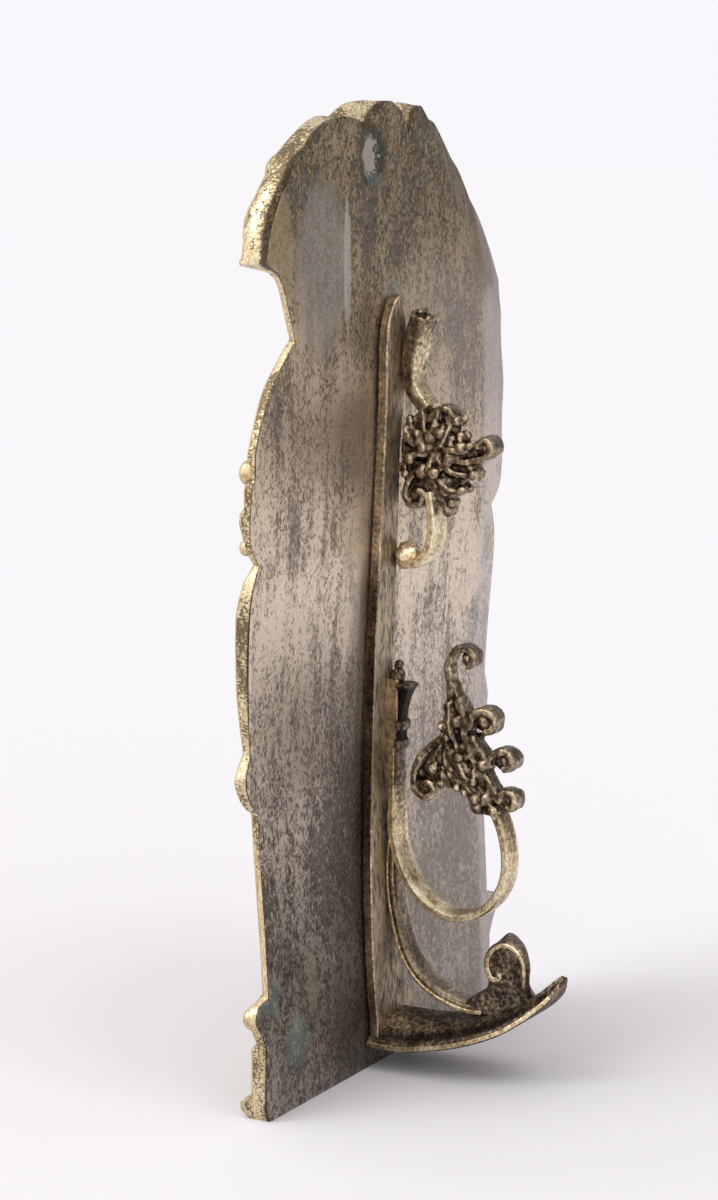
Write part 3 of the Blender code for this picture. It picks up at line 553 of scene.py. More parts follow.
def rim_depth(x, z):
    near = np.interp(z, *zip(*NEAR_DEPTH))
    far = np.interp(z, *zip(*FAR_DEPTH))
    return np.where(x > 0, near, far)


def distance_to(line, points):
    """Distance from each point to a closed line, by its nearest fine sample."""
    fine = np.vstack([line + (np.roll(line, -1, axis=0) - line) * t for t in (0.0, 0.25, 0.5, 0.75)])
    tree = KDTree(len(fine))
    for k, (x, z) in enumerate(fine):
        tree.insert((x, z, 0.0), k)
    tree.balance()
    return np.array([tree.find((x, z, 0.0))[2] for x, z in points])


def wave(points, size, seed):
    """A slow unevenness between -1 and 1, for the hand-finished surfaces."""
    return np.array([noise.noise(Vector((x / size, seed, z / size))) for x, z in points])


def beyond(points, line):
    """How far each point lies beyond a straight line, on its outer side."""
    a, b = np.array(line[0]), np.array(line[1])
    along_line = (b - a) / np.linalg.norm(b - a)
    out = np.array((along_line[1], -along_line[0]))
    if out[0] > 0:
        out = -out
    return (points - a) @ out


def dome(points, shape):
    cx, cz, half, high, depth = shape
    share = 1.0 - ((points[:, 0] - cx) / half) ** 2 - ((points[:, 1] - cz) / high) ** 2
    return depth * np.sqrt(np.clip(share, 0.0, 1.0))


def back_depth(points, dist):
    """Depth of the back face: flat, with the far shoulder falling away and the casting hollow under the crest."""
    s = beyond(points, SHOULDER_CREASE)
    depth = SHOULDER_SLOPE * (np.sqrt(s * s + 0.16) + s) / 2
    u = (points[:, 0] - HOLLOW[0]) / HOLLOW[2]
    v = (points[:, 1] - HOLLOW[1]) / HOLLOW[3]
    drop = 1.0 - (u / (1.0 + 0.25 * np.clip(v, -1.5, 1.0))) ** 2 - v ** 2
    depth += HOLLOW_DEPTH * smoothstep(drop, 0.0, 0.7)
    depth += 0.10 * np.clip(wave(points, 17.0, 2.0), -1.0, 1.0) * smoothstep(dist, 0.0, 3.0) + 0.06
    depth += 0.16 * (1.0 - smoothstep(dist, 0.0, 0.4))
    return depth


def flute_depth(points, dist):
    depth = FLUTE_FLOOR + (RIM_FLOOR - FLUTE_FLOOR) * (1.0 - smoothstep(dist, 0.8, 4.5))
    for degrees, reach, half in FLUTES:
        angle = math.radians(degrees)
        way = np.array((math.cos(angle), math.sin(angle)))
        rel = points - np.array(SHELL_HINGE)
        u = rel @ way
        v = rel @ np.array((-way[1], way[0]))
        width = FLUTE_ROOT + (half - FLUTE_ROOT) * np.clip(u / reach, 0.0, 1.1)
        rise = FLUTE_RISE * width / half
        share = np.clip(1.0 - (v / width) ** 2, 0.0, 1.0)
        depth = np.maximum(depth, np.where(u > 0, FLUTE_AXIS + rise * np.sqrt(share), 0.0))
    return depth


def front_depth(points, dist):
    x, z = points[:, 0], points[:, 1]
    rim = rim_depth(x, z)
    plain = SHEET + 0.10 * wave(points, 9.0, 5.0)
    band = rim + (plain - rim) * smoothstep(dist, 2.2, 4.0)
    band = np.where(z < 21.6, rim, band)
    foot_z = np.interp(x, *zip(*CREST_FOOT))
    share = smoothstep(z - foot_z, 0.0, 1.8)
    depth = band + (flute_depth(points, dist) - band) * share
    depth = np.maximum(depth, np.maximum(dome(points, BOSS), dome(points, GLORY)))
    edge = EDGE_ROUND + CREST_ROUND * share
    gone = 1.0 - np.clip(dist / edge, 0.0, 1.0)
    return depth - edge * (1.0 - np.sqrt(np.clip(1.0 - gone * gone, 0.0, 1.0)))


def inner_points(line, spacing, insets, rows=()):
    """Points inside a closed line: some rings close to it, an uneven grid further in, and rows at given heights."""
    tangent = np.roll(line, -1, axis=0) - np.roll(line, 1, axis=0)
    tangent /= np.linalg.norm(tangent, axis=1)[:, None]
    inward = np.column_stack((-tangent[:, 1], tangent[:, 0]))
    kept = []
    for k, inset in enumerate(insets):
        ring = (line + inward * inset)[::k + 1]
        kept.append(ring[distance_to(line, ring) > inset * 0.93])
    low, high = line.min(axis=0), line.max(axis=0)
    xs = np.arange(low[0], high[0], spacing)
    zs = np.arange(low[1], high[1], spacing * 0.87)
    grid = np.array([(x + (spacing / 2 if k % 2 else 0.0), z) for k, z in enumerate(zs) for x in xs])
    grid = grid[inside(line, grid)]
    grid = grid[distance_to(line, grid) > insets[-1] + spacing * 0.6]
    for z in rows:
        grid = grid[np.abs(grid[:, 1] - z) > spacing * 0.4]
    kept.append(grid)
    for z in rows:
        row = np.column_stack((xs, np.full(len(xs), z)))
        row = row[inside(line, row)]
        kept.append(row[distance_to(line, row) > insets[-1] + spacing * 0.4])
    return np.vstack(kept)


def inside(line, points):
    """Whether each point lies inside a closed line, by counting crossings."""
    result = np.zeros(len(points), bool)
    for (ax, az), (bx, bz) in zip(line, np.roll(line, -1, axis=0)):
        if az == bz:
            continue
        crossed = (az > points[:, 1]) != (bz > points[:, 1])
        where = ax + (points[:, 1] - az) / (bz - az) * (bx - ax)
        result ^= crossed & (points[:, 0] < where)
    return result


def face_sheet(line, points):
    """Triangles between a closed line and the points inside it; the line's own points come first."""
    flat = [Vector(p) for p in np.vstack((line, points))]
    ring = list(range(len(line)))
    verts, _, faces, origins, _, _ = delaunay_2d_cdt(flat, [], [ring], 1, 1e-6)
    back_to = [o[0] if o else -1 for o in origins]
    return [[back_to[i] for i in face] for face in faces]


def make_board(materials):
    back, lip = rim_lines()
    count = len(back)
    rim_back = back_depth(back, np.zeros(count))
    rim_front = front_depth(lip, np.zeros(count))
    rim_front = np.maximum(rim_front, rim_back + 0.5)
    ahead = np.roll(back, -1, axis=0) - np.roll(back, 1, axis=0)
    ahead /= np.linalg.norm(ahead, axis=1)[:, None]
    crest = (smoothstep(back[:, 1], 142.0, 146.0) * (1.0 - smoothstep(back[:, 1], 158.0, 164.0)))[:, None]
    belly = np.column_stack((ahead[:, 1], -ahead[:, 0])) * crest * CREST_BELLY
    verts = []
    for k in range(WALL_ROWS):
        t = k / (WALL_ROWS - 1)
        ring = back + (lip - back) * smoothstep(np.array(t), 0.0, 1.0) + belly * math.sin(math.pi * t)
        depth = rim_back + (rim_front - rim_back) * t
        verts += [(x, -w, z) for (x, z), w in zip(ring, depth)]
    faces, kinds = [], []
    for k in range(WALL_ROWS - 1):
        for i in range(count):
            j = (i + 1) % count
            faces.append((k * count + i, k * count + j, (k + 1) * count + j, (k + 1) * count + i))
            kinds.append(1)
    plain = inner_points(back, 1.1, (0.4, 0.9))
    depth = back_depth(plain, distance_to(back, plain))
    start = len(verts)
    verts += [(x, -w, z) for (x, z), w in zip(plain, depth)]
    for face in face_sheet(back, plain):
        faces.append([i if i < count else start + i - count for i in face])
        kinds.append(0)
    relief = inner_points(lip, 0.95, (0.35, 0.8, 1.4), (3.1, 3.4, 12.8, 13.2, 21.4, 21.8))
    depth = front_depth(relief, distance_to(lip, relief))
    top = (WALL_ROWS - 1) * count
    start = len(verts)
    verts += [(x, -w, z) for (x, z), w in zip(relief, depth)]
    for face in face_sheet(lip, relief):
        faces.append([top + i if i < count else start + i - count for i in face])
        kinds.append(2)
    board = mesh_object("board", verts, faces)
    board.data.polygons.foreach_set("material_index", kinds)
    for material in materials:
        board.data.materials.append(material)
    share = np.zeros(len(board.data.vertices))
    share[:WALL_ROWS * count] = np.repeat(np.arange(WALL_ROWS) / (WALL_ROWS - 1), count)
    board.data.attributes.new("edge_share", "FLOAT", "POINT").data.foreach_set("value", share)
    knobs = [ball("knob", (side * x, -depth, z), (radius, thick, radius), materials[2], 24)
             for side in (-1, 1) for x, depth, z, radius, thick in EDGE_KNOBS]
    return join("board", [turn_outwards(board)] + knobs)


# Forming tools for the other pieces

def strap_tree(material):
    """Sweeps a rounded flat bar along a line; the bar is widened along X."""
    tree = bpy.data.node_groups.new("strap", "GeometryNodeTree")
    tree.interface.new_socket("Geometry", in_out="INPUT", socket_type="NodeSocketGeometry")
    for name in ("Thick Start", "Thick End", "Half Width Start", "Half Width End", "Spacing"):
        tree.interface.new_socket(name, in_out="INPUT", socket_type="NodeSocketFloat")
    tree.interface.new_socket("Geometry", in_out="OUTPUT", socket_type="NodeSocketGeometry")
    given = node(tree, "NodeGroupInput").node.outputs
    line = node(tree, "GeometryNodeMeshToCurve", {"Mesh": given["Geometry"]})
    even = node(tree, "GeometryNodeResampleCurve", {"Curve": line, "Length": given["Spacing"]}, mode="LENGTH")
    share = node(tree, "GeometryNodeSplineParameter", out="Factor")
    thick = node(tree, "ShaderNodeMapRange", {"Value": share, "To Min": given["Thick Start"], "To Max": given["Thick End"]})
    wide = node(tree, "ShaderNodeMapRange", {"Value": share, "To Min": given["Half Width Start"],
                                             "To Max": given["Half Width End"]})
    spread = node(tree, "ShaderNodeMath", wide, thick, operation="DIVIDE")
    kept = node(tree, "GeometryNodeStoreNamedAttribute", {"Geometry": even, "Name": "spread", "Value": spread})
    profile = node(tree, "GeometryNodeCurvePrimitiveQuadrilateral", {"Width": 2.0, "Height": 2.0})
    rounded = node(tree, "GeometryNodeFilletCurve", {"Curve": profile, "Radius": 0.42, "Count": 4}, mode="POLY")
    fine = node(tree, "GeometryNodeResampleCurve", {"Curve": rounded, "Count": 28}, mode="COUNT")
    swept = node(tree, "GeometryNodeCurveToMesh", {"Curve": kept, "Profile Curve": fine, "Scale": thick,
                                                   "Fill Caps": True})
    split = node(tree, "ShaderNodeSeparateXYZ", node(tree, "GeometryNodeInputPosition")).node.outputs
    read = node(tree, "GeometryNodeInputNamedAttribute", {"Name": "spread"}, out="Attribute")
    across = node(tree, "ShaderNodeMath", split[0], read, operation="MULTIPLY")
    moved = node(tree, "ShaderNodeCombineXYZ", across, split[1], split[2])
    widened = node(tree, "GeometryNodeSetPosition", {"Geometry": swept, "Position": moved})
    real = node(tree, "GeometryNodeRealizeInstances", widened)
    node(tree, "NodeGroupOutput", node(tree, "GeometryNodeSetMaterial", {"Geometry": real, "Material": material}))
    return tree


def run_tree(obj, tree, values):
    """Evaluates a geometry tree on an object with the given named inputs and returns the plain result."""
    step = obj.modifiers.new("form", "NODES")
    step.node_group = tree
    for item in tree.interface.items_tree:
        if item.in_out == "INPUT" and item.name in values:
            step[item.identifier] = values[item.name]
    return bake(obj)


def strap(tree, name, line, thick, wide, spacing=0.35):
    points = along(line, max(8, round(length_of(line) / spacing)))
    mesh = bpy.data.meshes.new(name)
    mesh.from_pydata([(0.0, y, z) for y, z in points], [(k, k + 1) for k in range(len(points) - 1)], [])
    made = run_tree(new_object(name, mesh), tree, {"Thick Start": thick[0], "Thick End": thick[1],
                                                   "Half Width Start": wide[0], "Half Width End": wide[1],
                                                   "Spacing": spacing})
    return turn_outwards(made)


def tube(tree, points, start, end):
    """A bar that tapers along points in space."""
    mesh = bpy.data.meshes.new("tube")
    mesh.from_pydata([tuple(p) for p in points], [(k, k + 1) for k in range(len(points) - 1)], [])
    made = run_tree(new_object("tube", mesh), tree, {"Thick Start": start, "Thick End": end, "Half Width Start": start,
                                                     "Half Width End": end, "Spacing": 0.25})
    return turn_outwards(made)


def slab(name, outline, low, high, along_x, round_off, material):
    """A flat outline with rounded edges, thick along X (outline in y, z) or along Y (outline in x, z)."""
    data = bpy.data.curves.new(name, "CURVE")
    data.dimensions = "2D"
    data.fill_mode = "BOTH"
    data.extrude = (high - low) / 2
    spline = data.splines.new("POLY")
    spline.points.add(len(outline) - 1)
    for point, place in zip(spline.points, outline):
        point.co = (place[0], place[1], 0.0, 1.0)
    spline.use_cyclic_u = True
    plate = turn_outwards(bake(new_object(name, data)))
    if along_x:
        lie = Matrix(((0, 0, 1, (low + high) / 2), (1, 0, 0, 0), (0, 1, 0, 0), (0, 0, 0, 1)))
    else:
        lie = Matrix(((1, 0, 0, 0), (0, 0, -1, (low + high) / 2), (0, 1, 0, 0), (0, 0, 0, 1)))
    plate.data.transform(lie)
    soft = plate.modifiers.new("round", "BEVEL")
    soft.width = round_off
    soft.segments = 3
    soft.limit_method = "ANGLE"
    soft.angle_limit = math.radians(40)
    plate = turn_outwards(bake(plate))
    plate.data.materials.clear()
    plate.data.materials.append(material)
    return plate


def ball(name, centre, radii, material, segments=20):
    mesh = bpy.data.meshes.new(name)
    bm = bmesh.new()
    bmesh.ops.create_uvsphere(bm, u_segments=segments, v_segments=segments // 2 + 2, radius=1.0)
    bm.transform(Matrix.Translation(centre) @ Matrix.Diagonal((*radii, 1)))
    bm.to_mesh(mesh)
    bm.free()
    mesh.materials.append(material)
    return new_object(name, mesh)


def loft(name, sections, material):
    """A closed shell through rings of matching points, with flat ends."""
    count = len(sections[0])
    verts = [p for ring in sections for p in ring]
    faces = []
    for k in range(len(sections) - 1):
        for i in range(count):
            j = (i + 1) % count
            faces.append((k * count + i, k * count + j, (k + 1) * count + j, (k + 1) * count + i))
    faces.append(tuple(range(count)))
    faces.append(tuple(len(verts) - count + i for i in range(count)))
    obj = mesh_object(name, verts, faces)
    obj.data.materials.append(material)
    return turn_outwards(obj)


def block(name, x, y, z, round_off, material):
    mesh = bpy.data.meshes.new(name)
    bm = bmesh.new()
    bmesh.ops.create_cube(bm, size=1.0)
    bm.transform(Matrix.Translation((sum(x) / 2, sum(y) / 2, sum(z) / 2))
                 @ Matrix.Diagonal((x[1] - x[0], y[1] - y[0], z[1] - z[0], 1)))
    bmesh.ops.bevel(bm, geom=bm.edges[:], offset=round_off, segments=3, profile=0.5, affect="EDGES")
    bm.to_mesh(mesh)
    bm.free()
    mesh.materials.append(material)
    return new_object(name, mesh)


def oxide_and_shade_faces(obj, material, limit):
    """Gives the faces that look sideways or upwards a second material: partly their own oxide, partly painted shade on
    the walls.
    """
    obj.data.materials.append(material)
    for face in obj.data.polygons:
        if abs(face.normal.x) > limit or face.normal.z > limit:
            face.material_index = 1
    return obj


def melt(name, parts, voxel, material, smooth=2):
    """Casts several overlapping pieces as one skin."""
    whole = join(name, parts)
    step = whole.modifiers.new("cast", "REMESH")
    step.mode = "VOXEL"
    step.voxel_size = voxel
    soft = whole.modifiers.new("soften", "SMOOTH")
    soft.iterations = smooth
    soft.factor = 0.5
    whole = bake(whole)
    whole.data.materials.clear()
    whole.data.materials.append(material)
    return whole


def note_relief(obj, reach=6):
    """Stores how far each point stands above its smoothed surroundings, which tells high points from hollows."""
    mesh = obj.data
    count = len(mesh.vertices)
    co = np.empty(count * 3)
    mesh.vertices.foreach_get("co", co)
    co = co.reshape(-1, 3)
    normals = np.empty(count * 3)
    mesh.vertices.foreach_get("normal", normals)
    normals = normals.reshape(-1, 3)
    edges = np.empty(len(mesh.edges) * 2, int)
    mesh.edges.foreach_get("vertices", edges)
    edges = edges.reshape(-1, 2)
    degree = np.bincount(edges.ravel(), minlength=count).astype(float)
    soft = co.copy()
    for _ in range(reach):
        total = np.zeros_like(soft)
        np.add.at(total, edges[:, 0], soft[edges[:, 1]])
        np.add.at(total, edges[:, 1], soft[edges[:, 0]])
        soft = total / np.maximum(degree, 1.0)[:, None]
    height = ((co - soft) * normals).sum(axis=1)
    usual = np.percentile(np.abs(height), 85.0) + 1e-4
    layer = mesh.attributes.new("relief", "FLOAT", "POINT")
    layer.data.foreach_set("value", np.clip(height / usual, -1.0, 1.0))
    return obj


def roughen(obj, size, height):
    """Gives a cast skin its small unevenness, in mesh."""
    mesh = obj.data
    for vert, normal in zip(mesh.vertices, [v.normal.copy() for v in mesh.vertices]):
        place = vert.co / size
        vert.co += normal * height * (noise.noise(place) + 0.5 * noise.noise(place * 2.3))
    return obj


CREASE = math.radians(42)
BROAD_CREASE = math.radians(10)
BROAD_FACE = 1.5e-6        # square metres


def settle(obj, handle):
    """Leans the handle's pieces, bows the casting, moves it to its place and turns millimetres into metres."""
    mesh = obj.data
    co = np.empty(len(mesh.vertices) * 3)
    mesh.vertices.foreach_get("co", co)
    co = co.reshape(-1, 3)
    z = co[:, 2]
    if handle:
        co[:, 0] -= LEAN * np.clip(z - LEAN_LOW_Z, 0.0, None) / (LEAN_HIGH_Z - LEAN_LOW_Z)
    share = np.clip((z - BOW_LOW_Z) / (BOW_HIGH_Z - BOW_LOW_Z), 0.0, 1.0)
    co[:, 1] += BACK_Y - BOW * np.sin(math.pi * share) ** 2
    mesh.vertices.foreach_set("co", (co * 0.001).ravel())
    mesh.shade_smooth()
    bm = bmesh.new()
    bm.from_mesh(mesh)
    for edge in bm.edges:
        if len(edge.link_faces) == 2:
            angle = edge.calc_face_angle()
            broad = max(face.calc_area() for face in edge.link_faces) > BROAD_FACE
            edge.smooth = angle < (BROAD_CREASE if broad else CREASE)
    bm.to_mesh(mesh)
    bm.free()
    mesh.update()
    return obj


# The front pieces

def make_front(material):
    parts = []
    for half, low, high, depth in PEDESTAL:
        parts.append(block("pedestal", (-half, half), (-depth, -0.6), (low, high), 0.35, material))
    foot_z = PEDESTAL[1][2] - 0.4
    for step in range(3):
        half = 13.4 - 3.6 * step
        low = foot_z + 3.0 * step
        parts.append(block("step", (-half, half), (-14.0 + 1.6 * step, -0.9), (low, low + 3.3), 0.3, material))
    parts.append(block("upright", (-CROSS_HALF, CROSS_HALF), (-CROSS_DEPTH, -0.8), (foot_z, CROSS_Z + CROSS_ARM), 0.5,
                       material))
    parts.append(block("arm", (-CROSS_ARM, CROSS_ARM), (0.3 - CROSS_DEPTH, -0.9),
                       (CROSS_Z - CROSS_HALF, CROSS_Z + CROSS_HALF), 0.5, material))
    for x, z in ((CROSS_ARM, CROSS_Z), (-CROSS_ARM, CROSS_Z), (0.0, CROSS_Z + CROSS_ARM)):
        parts.append(ball("bud", (x, 2.9 - CROSS_DEPTH, z), (BUD_RADIUS, 3.5, BUD_RADIUS), material, 24))
    tree = strap_tree(material)
    for ray in range(8):
        angle = math.radians(27 + 90 * (ray // 2) + 36 * (ray % 2))
        flat = np.array([(r * math.cos(angle), CROSS_Z + r * math.sin(angle)) for r in np.linspace(2.0, RAY_LENGTH, 14)])
        depth = dome(flat, GLORY) + RAY_PROUD
        parts.append(tube(tree, [(x, -w, z) for (x, z), w in zip(flat, depth)], RAY_THICK, RAY_THIN))
    parts.append(tube(tree, frame_line(), FRAME_THICK, FRAME_THICK))
    return join("front_relief", parts)


def frame_line():
    """The middle of the panel's frame: up one side, round the arch, down the other side and along the bottom."""
    half = FRAME_HALF - FRAME_BAND / 2
    low = FRAME_LOW_Z + FRAME_BAND / 2
    turn = 2.0
    line = [(0.0, low), (half - turn, low)]
    line += [(half - turn + turn * math.sin(a), low + turn - turn * math.cos(a)) for a in np.linspace(0.2, 1.4, 5)]
    line += [(half, low + turn)]
    line += [(half * math.cos(a), FRAME_SPRING_Z + half * math.sin(a)) for a in np.linspace(0.0, math.pi / 2, 25)]
    whole = line + [(-x, z) for x, z in line[::-1][1:]]
    return [(x, -FRAME_MIDDLE, z) for x, z in whole]


# The handle

def foot_width(y):
    reach = min(1.0, max(0.0, (y - 18.0) / 17.6))
    return FOOT_HALF * (math.sqrt(max(0.0, 1.0 - reach ** 2)) * 0.95 + 0.05)


def make_foot(material):
    """The boat-shaped foot: a ridge along the middle, slopes down to a thin edge, and a flat underside."""
    count = 70
    under = along(FOOT_UNDER, count)
    ridge = along(FOOT_RIDGE, count)
    sections = []
    for (uy, uz), (ry, rz) in zip(under, ridge):
        half = foot_width(uy)
        flat = min(2.9, half * 0.6)
        tall = rz - uz
        lip = min(1.7, tall * 0.45)
        ring = [(half - 0.5, 0.0), (half - 0.15, 0.12), (half, lip * 0.3), (half, lip * 0.8), (half - 0.25, lip)]
        slope = [(half - 0.25 + (flat - half + 0.25) * t, lip + (tall - lip) * t ** 1.25) for t in (0.2, 0.4, 0.6, 0.8, 1.0)]
        side = ring + slope
        shape = side + [(-x, t) for x, t in side[::-1]]
        sections.append([(x, uy + (ry - uy) * min(1.0, t / max(tall, 0.01)), uz + t) for x, t in shape])
    return loft("foot", sections, material)


def rounded_ring(centre, half, near, far, z, count=6):
    """A rectangle with round corners at one height, as points."""
    radius = min(0.7, half * 0.4, (far - near) * 0.4)
    ring = []
    for corner, (sx, y) in enumerate(((1, near), (1, far), (-1, far), (-1, near))):
        sy = 1 if y == far else -1
        for k in range(count + 1):
            angle = math.radians((-90, 0, 90, 180)[corner] + 90 * k / count)
            ring.append((centre + sx * (half - radius) + radius * math.cos(angle),
                         y - sy * radius + radius * math.sin(angle), z))
    return ring


def make_volute(material):
    """The scroll's head over the foot: flat on its near face, and narrower towards the far side."""
    outline = along(VOLUTE, 70)
    middle = outline.mean(axis=0)
    sections = []
    for x, size in ((VOLUTE_HALF, 0.95), (VOLUTE_HALF - 0.25, 1.0), (VOLUTE_FLAT, 1.0), (0.25 - VOLUTE_HALF, 1.0),
                    (-VOLUTE_HALF, 0.95)):
        ring = middle + (outline - middle) * size
        pull = smoothstep(ring[:, 0], 20.0, 28.0) * smoothstep(ring[:, 1], 13.0, 17.0)
        y = ring[:, 0] - pull * VOLUTE_DRAFT * max(0.0, VOLUTE_FLAT - x)
        sections.append([(x, a, b) for a, b in zip(y, ring[:, 1])])
    return loft("volute", sections, material)


def edge_bead(tree, line, x, out, thick):
    """A raised edge along a strap, on one side of it."""
    points = along(line, max(8, round(length_of(line) / 0.4)))
    ahead = np.gradient(points, axis=0)
    ahead /= np.linalg.norm(ahead, axis=1)[:, None]
    points = points + np.column_stack((ahead[:, 1], -ahead[:, 0])) * out
    return tube(tree, [(x, y, z) for y, z in points], thick * 0.3, thick)


def make_handle(dark, gilt, strip_metal, foot_metal):
    dark_tree = strap_tree(dark)
    gilt_tree = strap_tree(gilt)
    strip = slab("strip", STRIP_NEAR + (STRIP_TIP,) + STRIP_FAR[::-1], GAP, STRIP_OUT, False, 0.3, strip_metal)
    sections = [rounded_ring(CAPITAL_X, half, near, far, z) for z, half, near, far in CAPITAL]
    stem = [strap(gilt_tree, "stem", STEM, (1.9, 1.2), (2.9, 2.4), 0.3)]
    for y, z in STEM_TOP:
        stem.append(ball("break", (0.4, y, z), (2.1, 0.6, 0.6), gilt, 12))
    parts = [
        # The strip's sideways walls take the dark bronze: partly oxide, partly painted shade.
        oxide_and_shade_faces(strip, dark, 0.6),
        loft("capital", sections, foot_metal),
        block("web", *WEB, 0.3, dark),
        make_foot(foot_metal),
        make_volute(foot_metal),
        strap(gilt_tree, "ring_stem", RING_STEM, (0.55, 0.9), (2.2, 2.7)),
        strap(gilt_tree, "ring", RING, (0.88, 0.80), (2.6, 2.3)),
        strap(gilt_tree, "upper_loop", UPPER_LOOP, (0.9, 1.0), (2.4, 2.4)),
        strap(dark_tree, "lower_scroll", LOWER_SCROLL, (0.7, 1.0), (2.2, 2.8)),
        # The stem's sideways walls and top take the dark bronze: partly oxide, partly painted shade.
        oxide_and_shade_faces(roughen(melt("stem", stem, 0.25, gilt), 1.1, 0.10), dark, 0.75),
        roughen(ball("knob", (0.0, 4.0, 91.5), (2.6, 2.4, 2.4), gilt, 40), 1.7, 0.45),
        ball("knob", (-0.5, 3.6, 71.8), (0.9, 0.9, 0.9), foot_metal),
        ball("stub", (-0.5, 3.5, 69.8), (1.5, 1.3, 1.5), foot_metal),
        tube(gilt_tree, [(VOLUTE_HALF - 0.1, y, z) for y, z in along(VOLUTE_RIM, 60)], 0.30, 0.50),
    ]
    for side in (-1, 1):
        parts.append(edge_bead(gilt_tree, LOWER_SCROLL, side * 2.7, 0.4, 0.4))
        edge = [(side * (foot_width(y) - 0.25), y, z + 0.75) for y, z in along(FOOT_UNDER, 60) if y < 34.0]
        parts.append(tube(gilt_tree, edge, 0.5, 0.35))
    return join("handle_straps", parts)


def cluster_parts(tree, core, half, strips, bosses, veins, metal, luck):
    """One leaf cluster: a core, curled bands, rounded bosses, and lobed veins on either face."""
    parts = [slab("core", core, -half, half, True, 0.3, metal)]
    for wide, thick, line in strips:
        parts.append(strap(tree, "band", line, (thick, thick * 0.8), (wide * 0.85, wide), 0.25))
    for y, z, radius, wide in bosses:
        parts.append(ball("boss", (0.0, y, z), (wide, radius, radius), metal, 14))
    for reach, thick, line in veins:
        points = along(line, max(8, round(length_of(line) / 0.25)))
        ahead = np.gradient(points, axis=0)
        ahead /= np.linalg.norm(ahead, axis=1)[:, None]
        across = np.column_stack((-ahead[:, 1], ahead[:, 0]))
        t = np.linspace(0.0, 1.0, len(points))
        for side in (-1, 1):
            arch = side * reach * (0.62 + 0.38 * np.sin(math.pi * np.clip(t * 1.1, 0.0, 1.0)))
            arch += np.array([0.35 * noise.noise(Vector((h, y * 0.4, z * 0.4))) for h, (y, z) in zip(arch, points)])
            parts.append(tube(tree, [(h, y, z) for h, (y, z) in zip(arch, points)], thick * 0.85, thick * 0.65))
            parts.append(ball("bead", (arch[-1], *points[-1]), (thick * 1.35,) * 3, metal, 12))
            for k in range(4, len(points) - 2, 10):
                way = 1 if (k // 10) % 2 else -1
                y, z = points[k] + across[k] * way * (thick * 0.7 + luck.uniform(0.0, 0.9))
                size = luck.uniform(0.7, 1.2)
                parts.append(ball("lobe", (arch[k] - side * luck.uniform(-0.2, 0.9), y, z), (size,) * 3, metal, 10))
    return parts


def make_leaves(dark):
    """The two leaf clusters, each cast as one skin."""
    tree = strap_tree(dark)
    luck = random.Random(11)
    made = []
    for name, core, strips, bosses, veins in (("upper", UPPER_CORE, UPPER_BANDS, UPPER_BOSSES, UPPER_VEINS),
                                              ("lower", LOWER_CORE, LOWER_BANDS, LOWER_BOSSES, LOWER_VEINS)):
        parts = cluster_parts(tree, core, 1.4, strips, bosses, veins, dark, luck)
        made.append(roughen(melt(name, parts, 0.20, dark, 2), 1.9, 0.22))
    return join("handle_leaves", made)


# The scene

ROOM_BRIGHT = (0.78, -0.28, 0.56)    # the room is brightest this way
ROOM_DIM = 0.33
ROOM_LIGHT = 1.60
# The lights, as name, direction, strength and angular size in degrees
LIGHTS = (("window", (0.9, -0.6, 1.4), 1.15, 34.0), ("lamp", (0.25, 0.8, 1.4), 0.4, 24.0))


def make_studio():
    """A pale floor, a bright even room and two broad suns. What the metal mirrors is dimmer on the handle's side."""
    bpy.ops.mesh.primitive_plane_add(size=8.0, location=(0.0, 0.0, 0.0))
    floor = bpy.context.object
    floor.name = "floor"
    material, tree, shader, _ = new_material("pale_paper")
    shader.inputs["Base Color"].default_value = linear("#cbcacf")
    shader.inputs["Roughness"].default_value = 0.9
    shader.inputs["Specular IOR Level"].default_value = 0.0
    floor.data.materials.append(material)
    world = bpy.data.worlds.new("studio")
    world.use_nodes = True
    tree = world.node_tree
    tree.nodes.clear()
    seen = node(tree, "ShaderNodeBackground", linear("#f8f7fc"), 1.0)
    way = node(tree, "ShaderNodeTexCoord", out="Generated")
    facing = node(tree, "ShaderNodeVectorMath", way, ROOM_BRIGHT, operation="DOT_PRODUCT", out="Value")
    strength = node(tree, "ShaderNodeMapRange", facing, -1.0, 1.0, ROOM_DIM, ROOM_LIGHT, **SOFT)
    lit = node(tree, "ShaderNodeBackground", linear("#fbf8f6"), strength)
    straight = node(tree, "ShaderNodeLightPath", out="Is Camera Ray")
    node(tree, "ShaderNodeOutputWorld", node(tree, "ShaderNodeMixShader", straight, lit, seen))
    bpy.context.scene.world = world
    bpy.context.scene.view_settings.view_transform = "Standard"
    for name, way, power, size in LIGHTS:
        data = bpy.data.lights.new(name, "SUN")
        data.energy = power
        data.angle = math.radians(size)
        light = bpy.data.objects.new(name, data)
        bpy.context.scene.collection.objects.link(light)
        light.rotation_euler = Vector(way).to_track_quat("Z", "Y").to_euler()


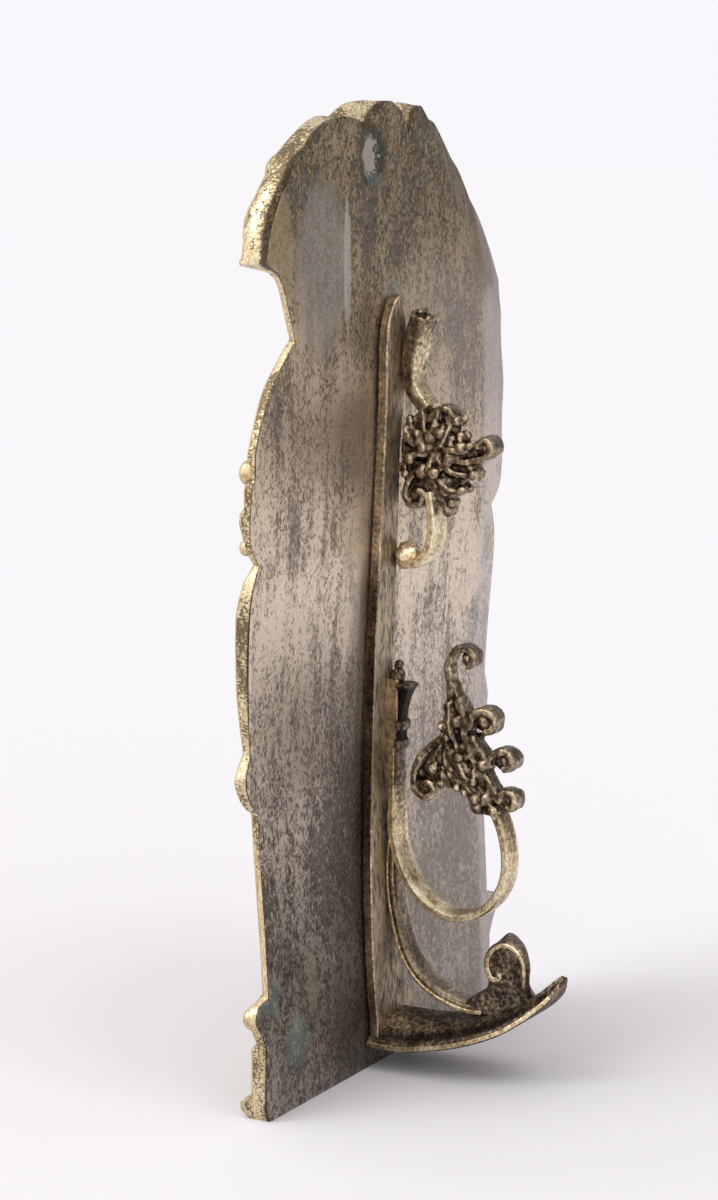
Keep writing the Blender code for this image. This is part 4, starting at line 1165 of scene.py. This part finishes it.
def make_camera():
    data = bpy.data.cameras.new("camera")
    data.sensor_fit = "AUTO"
    data.sensor_width = 36.0
    data.lens = 95.7
    data.clip_start = 0.01
    data.clip_end = 20.0
    camera = bpy.data.objects.new("camera", data)
    bpy.context.scene.collection.objects.link(camera)
    camera.location = (0.4820, 0.2756, 0.1785)
    pitch = math.radians(9.8)
    heading = math.radians(29.4)
    look = Vector((-math.cos(heading) * math.cos(pitch), -math.sin(heading) * math.cos(pitch), -math.sin(pitch)))
    camera.rotation_euler = look.to_track_quat("-Z", "Y").to_euler()
    bpy.context.scene.camera = camera


satin_gilding = rubbed_gilding()
edge_gilding = filed_edge()
front_gilding = cast_bronze("chased_gilt_front", 0.54, (
    (0.26, "#2c241b"), (0.40, "#5f4f38"), (0.54, "#a68d64"), (0.74, "#d9c49a")), 0.7)
dark_bronze = cast_bronze("dark_cast_bronze", 0.49, (
    (0.28, "#241c16"), (0.42, "#4c4136"), (0.54, "#7d6f5e"), (0.66, "#b3a187"), (0.80, "#e9dcc2")), 0.65, 1.0, 0.4, 0.2)
gilt_bronze = cast_bronze("rubbed_gilt_bronze", 0.55, (
    (0.24, "#2b231b"), (0.38, "#5e5140"), (0.50, "#988668"), (0.62, "#d1bd96"), (0.80, "#f8edd2")), 1.0,
    tarnish=((0.0, 0.5), (0.25, 0.5), (0.30, 0.32), (0.42, 0.24), (0.50, 0.5), (0.74, 0.5), (0.78, 0.36), (1.0, 0.36)))
strip_bronze = cast_bronze("scraped_strip_bronze", 0.50, (
    (0.26, "#302820"), (0.40, "#574c40"), (0.54, "#8a7b6b"), (0.72, "#bbaa90")), 1.5, 3.5, 0.6, 0.46)
foot_bronze = cast_bronze("brown_foot_bronze", 0.34, (
    (0.26, "#231e19"), (0.40, "#423830"), (0.54, "#786a5a"), (0.72, "#c0ad92")), 1.1, 1.0, 0.6, 0.4)

board = settle(note_relief(make_board((satin_gilding, edge_gilding, front_gilding))), False)
front = settle(note_relief(make_front(front_gilding)), False)
straps = settle(note_relief(make_handle(dark_bronze, gilt_bronze, strip_bronze, foot_bronze)), True)
leaves = settle(note_relief(make_leaves(dark_bronze)), True)

for piece, part, finish in ((board, "plaque", "gilt_bronze"), (front, "plaque", "gilt_bronze"),
                            (straps, "handle", "dark_gilt_bronze"), (leaves, "handle", "dark_gilt_bronze")):
    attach(piece, "root")
    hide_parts(part)

make_studio()
make_camera()
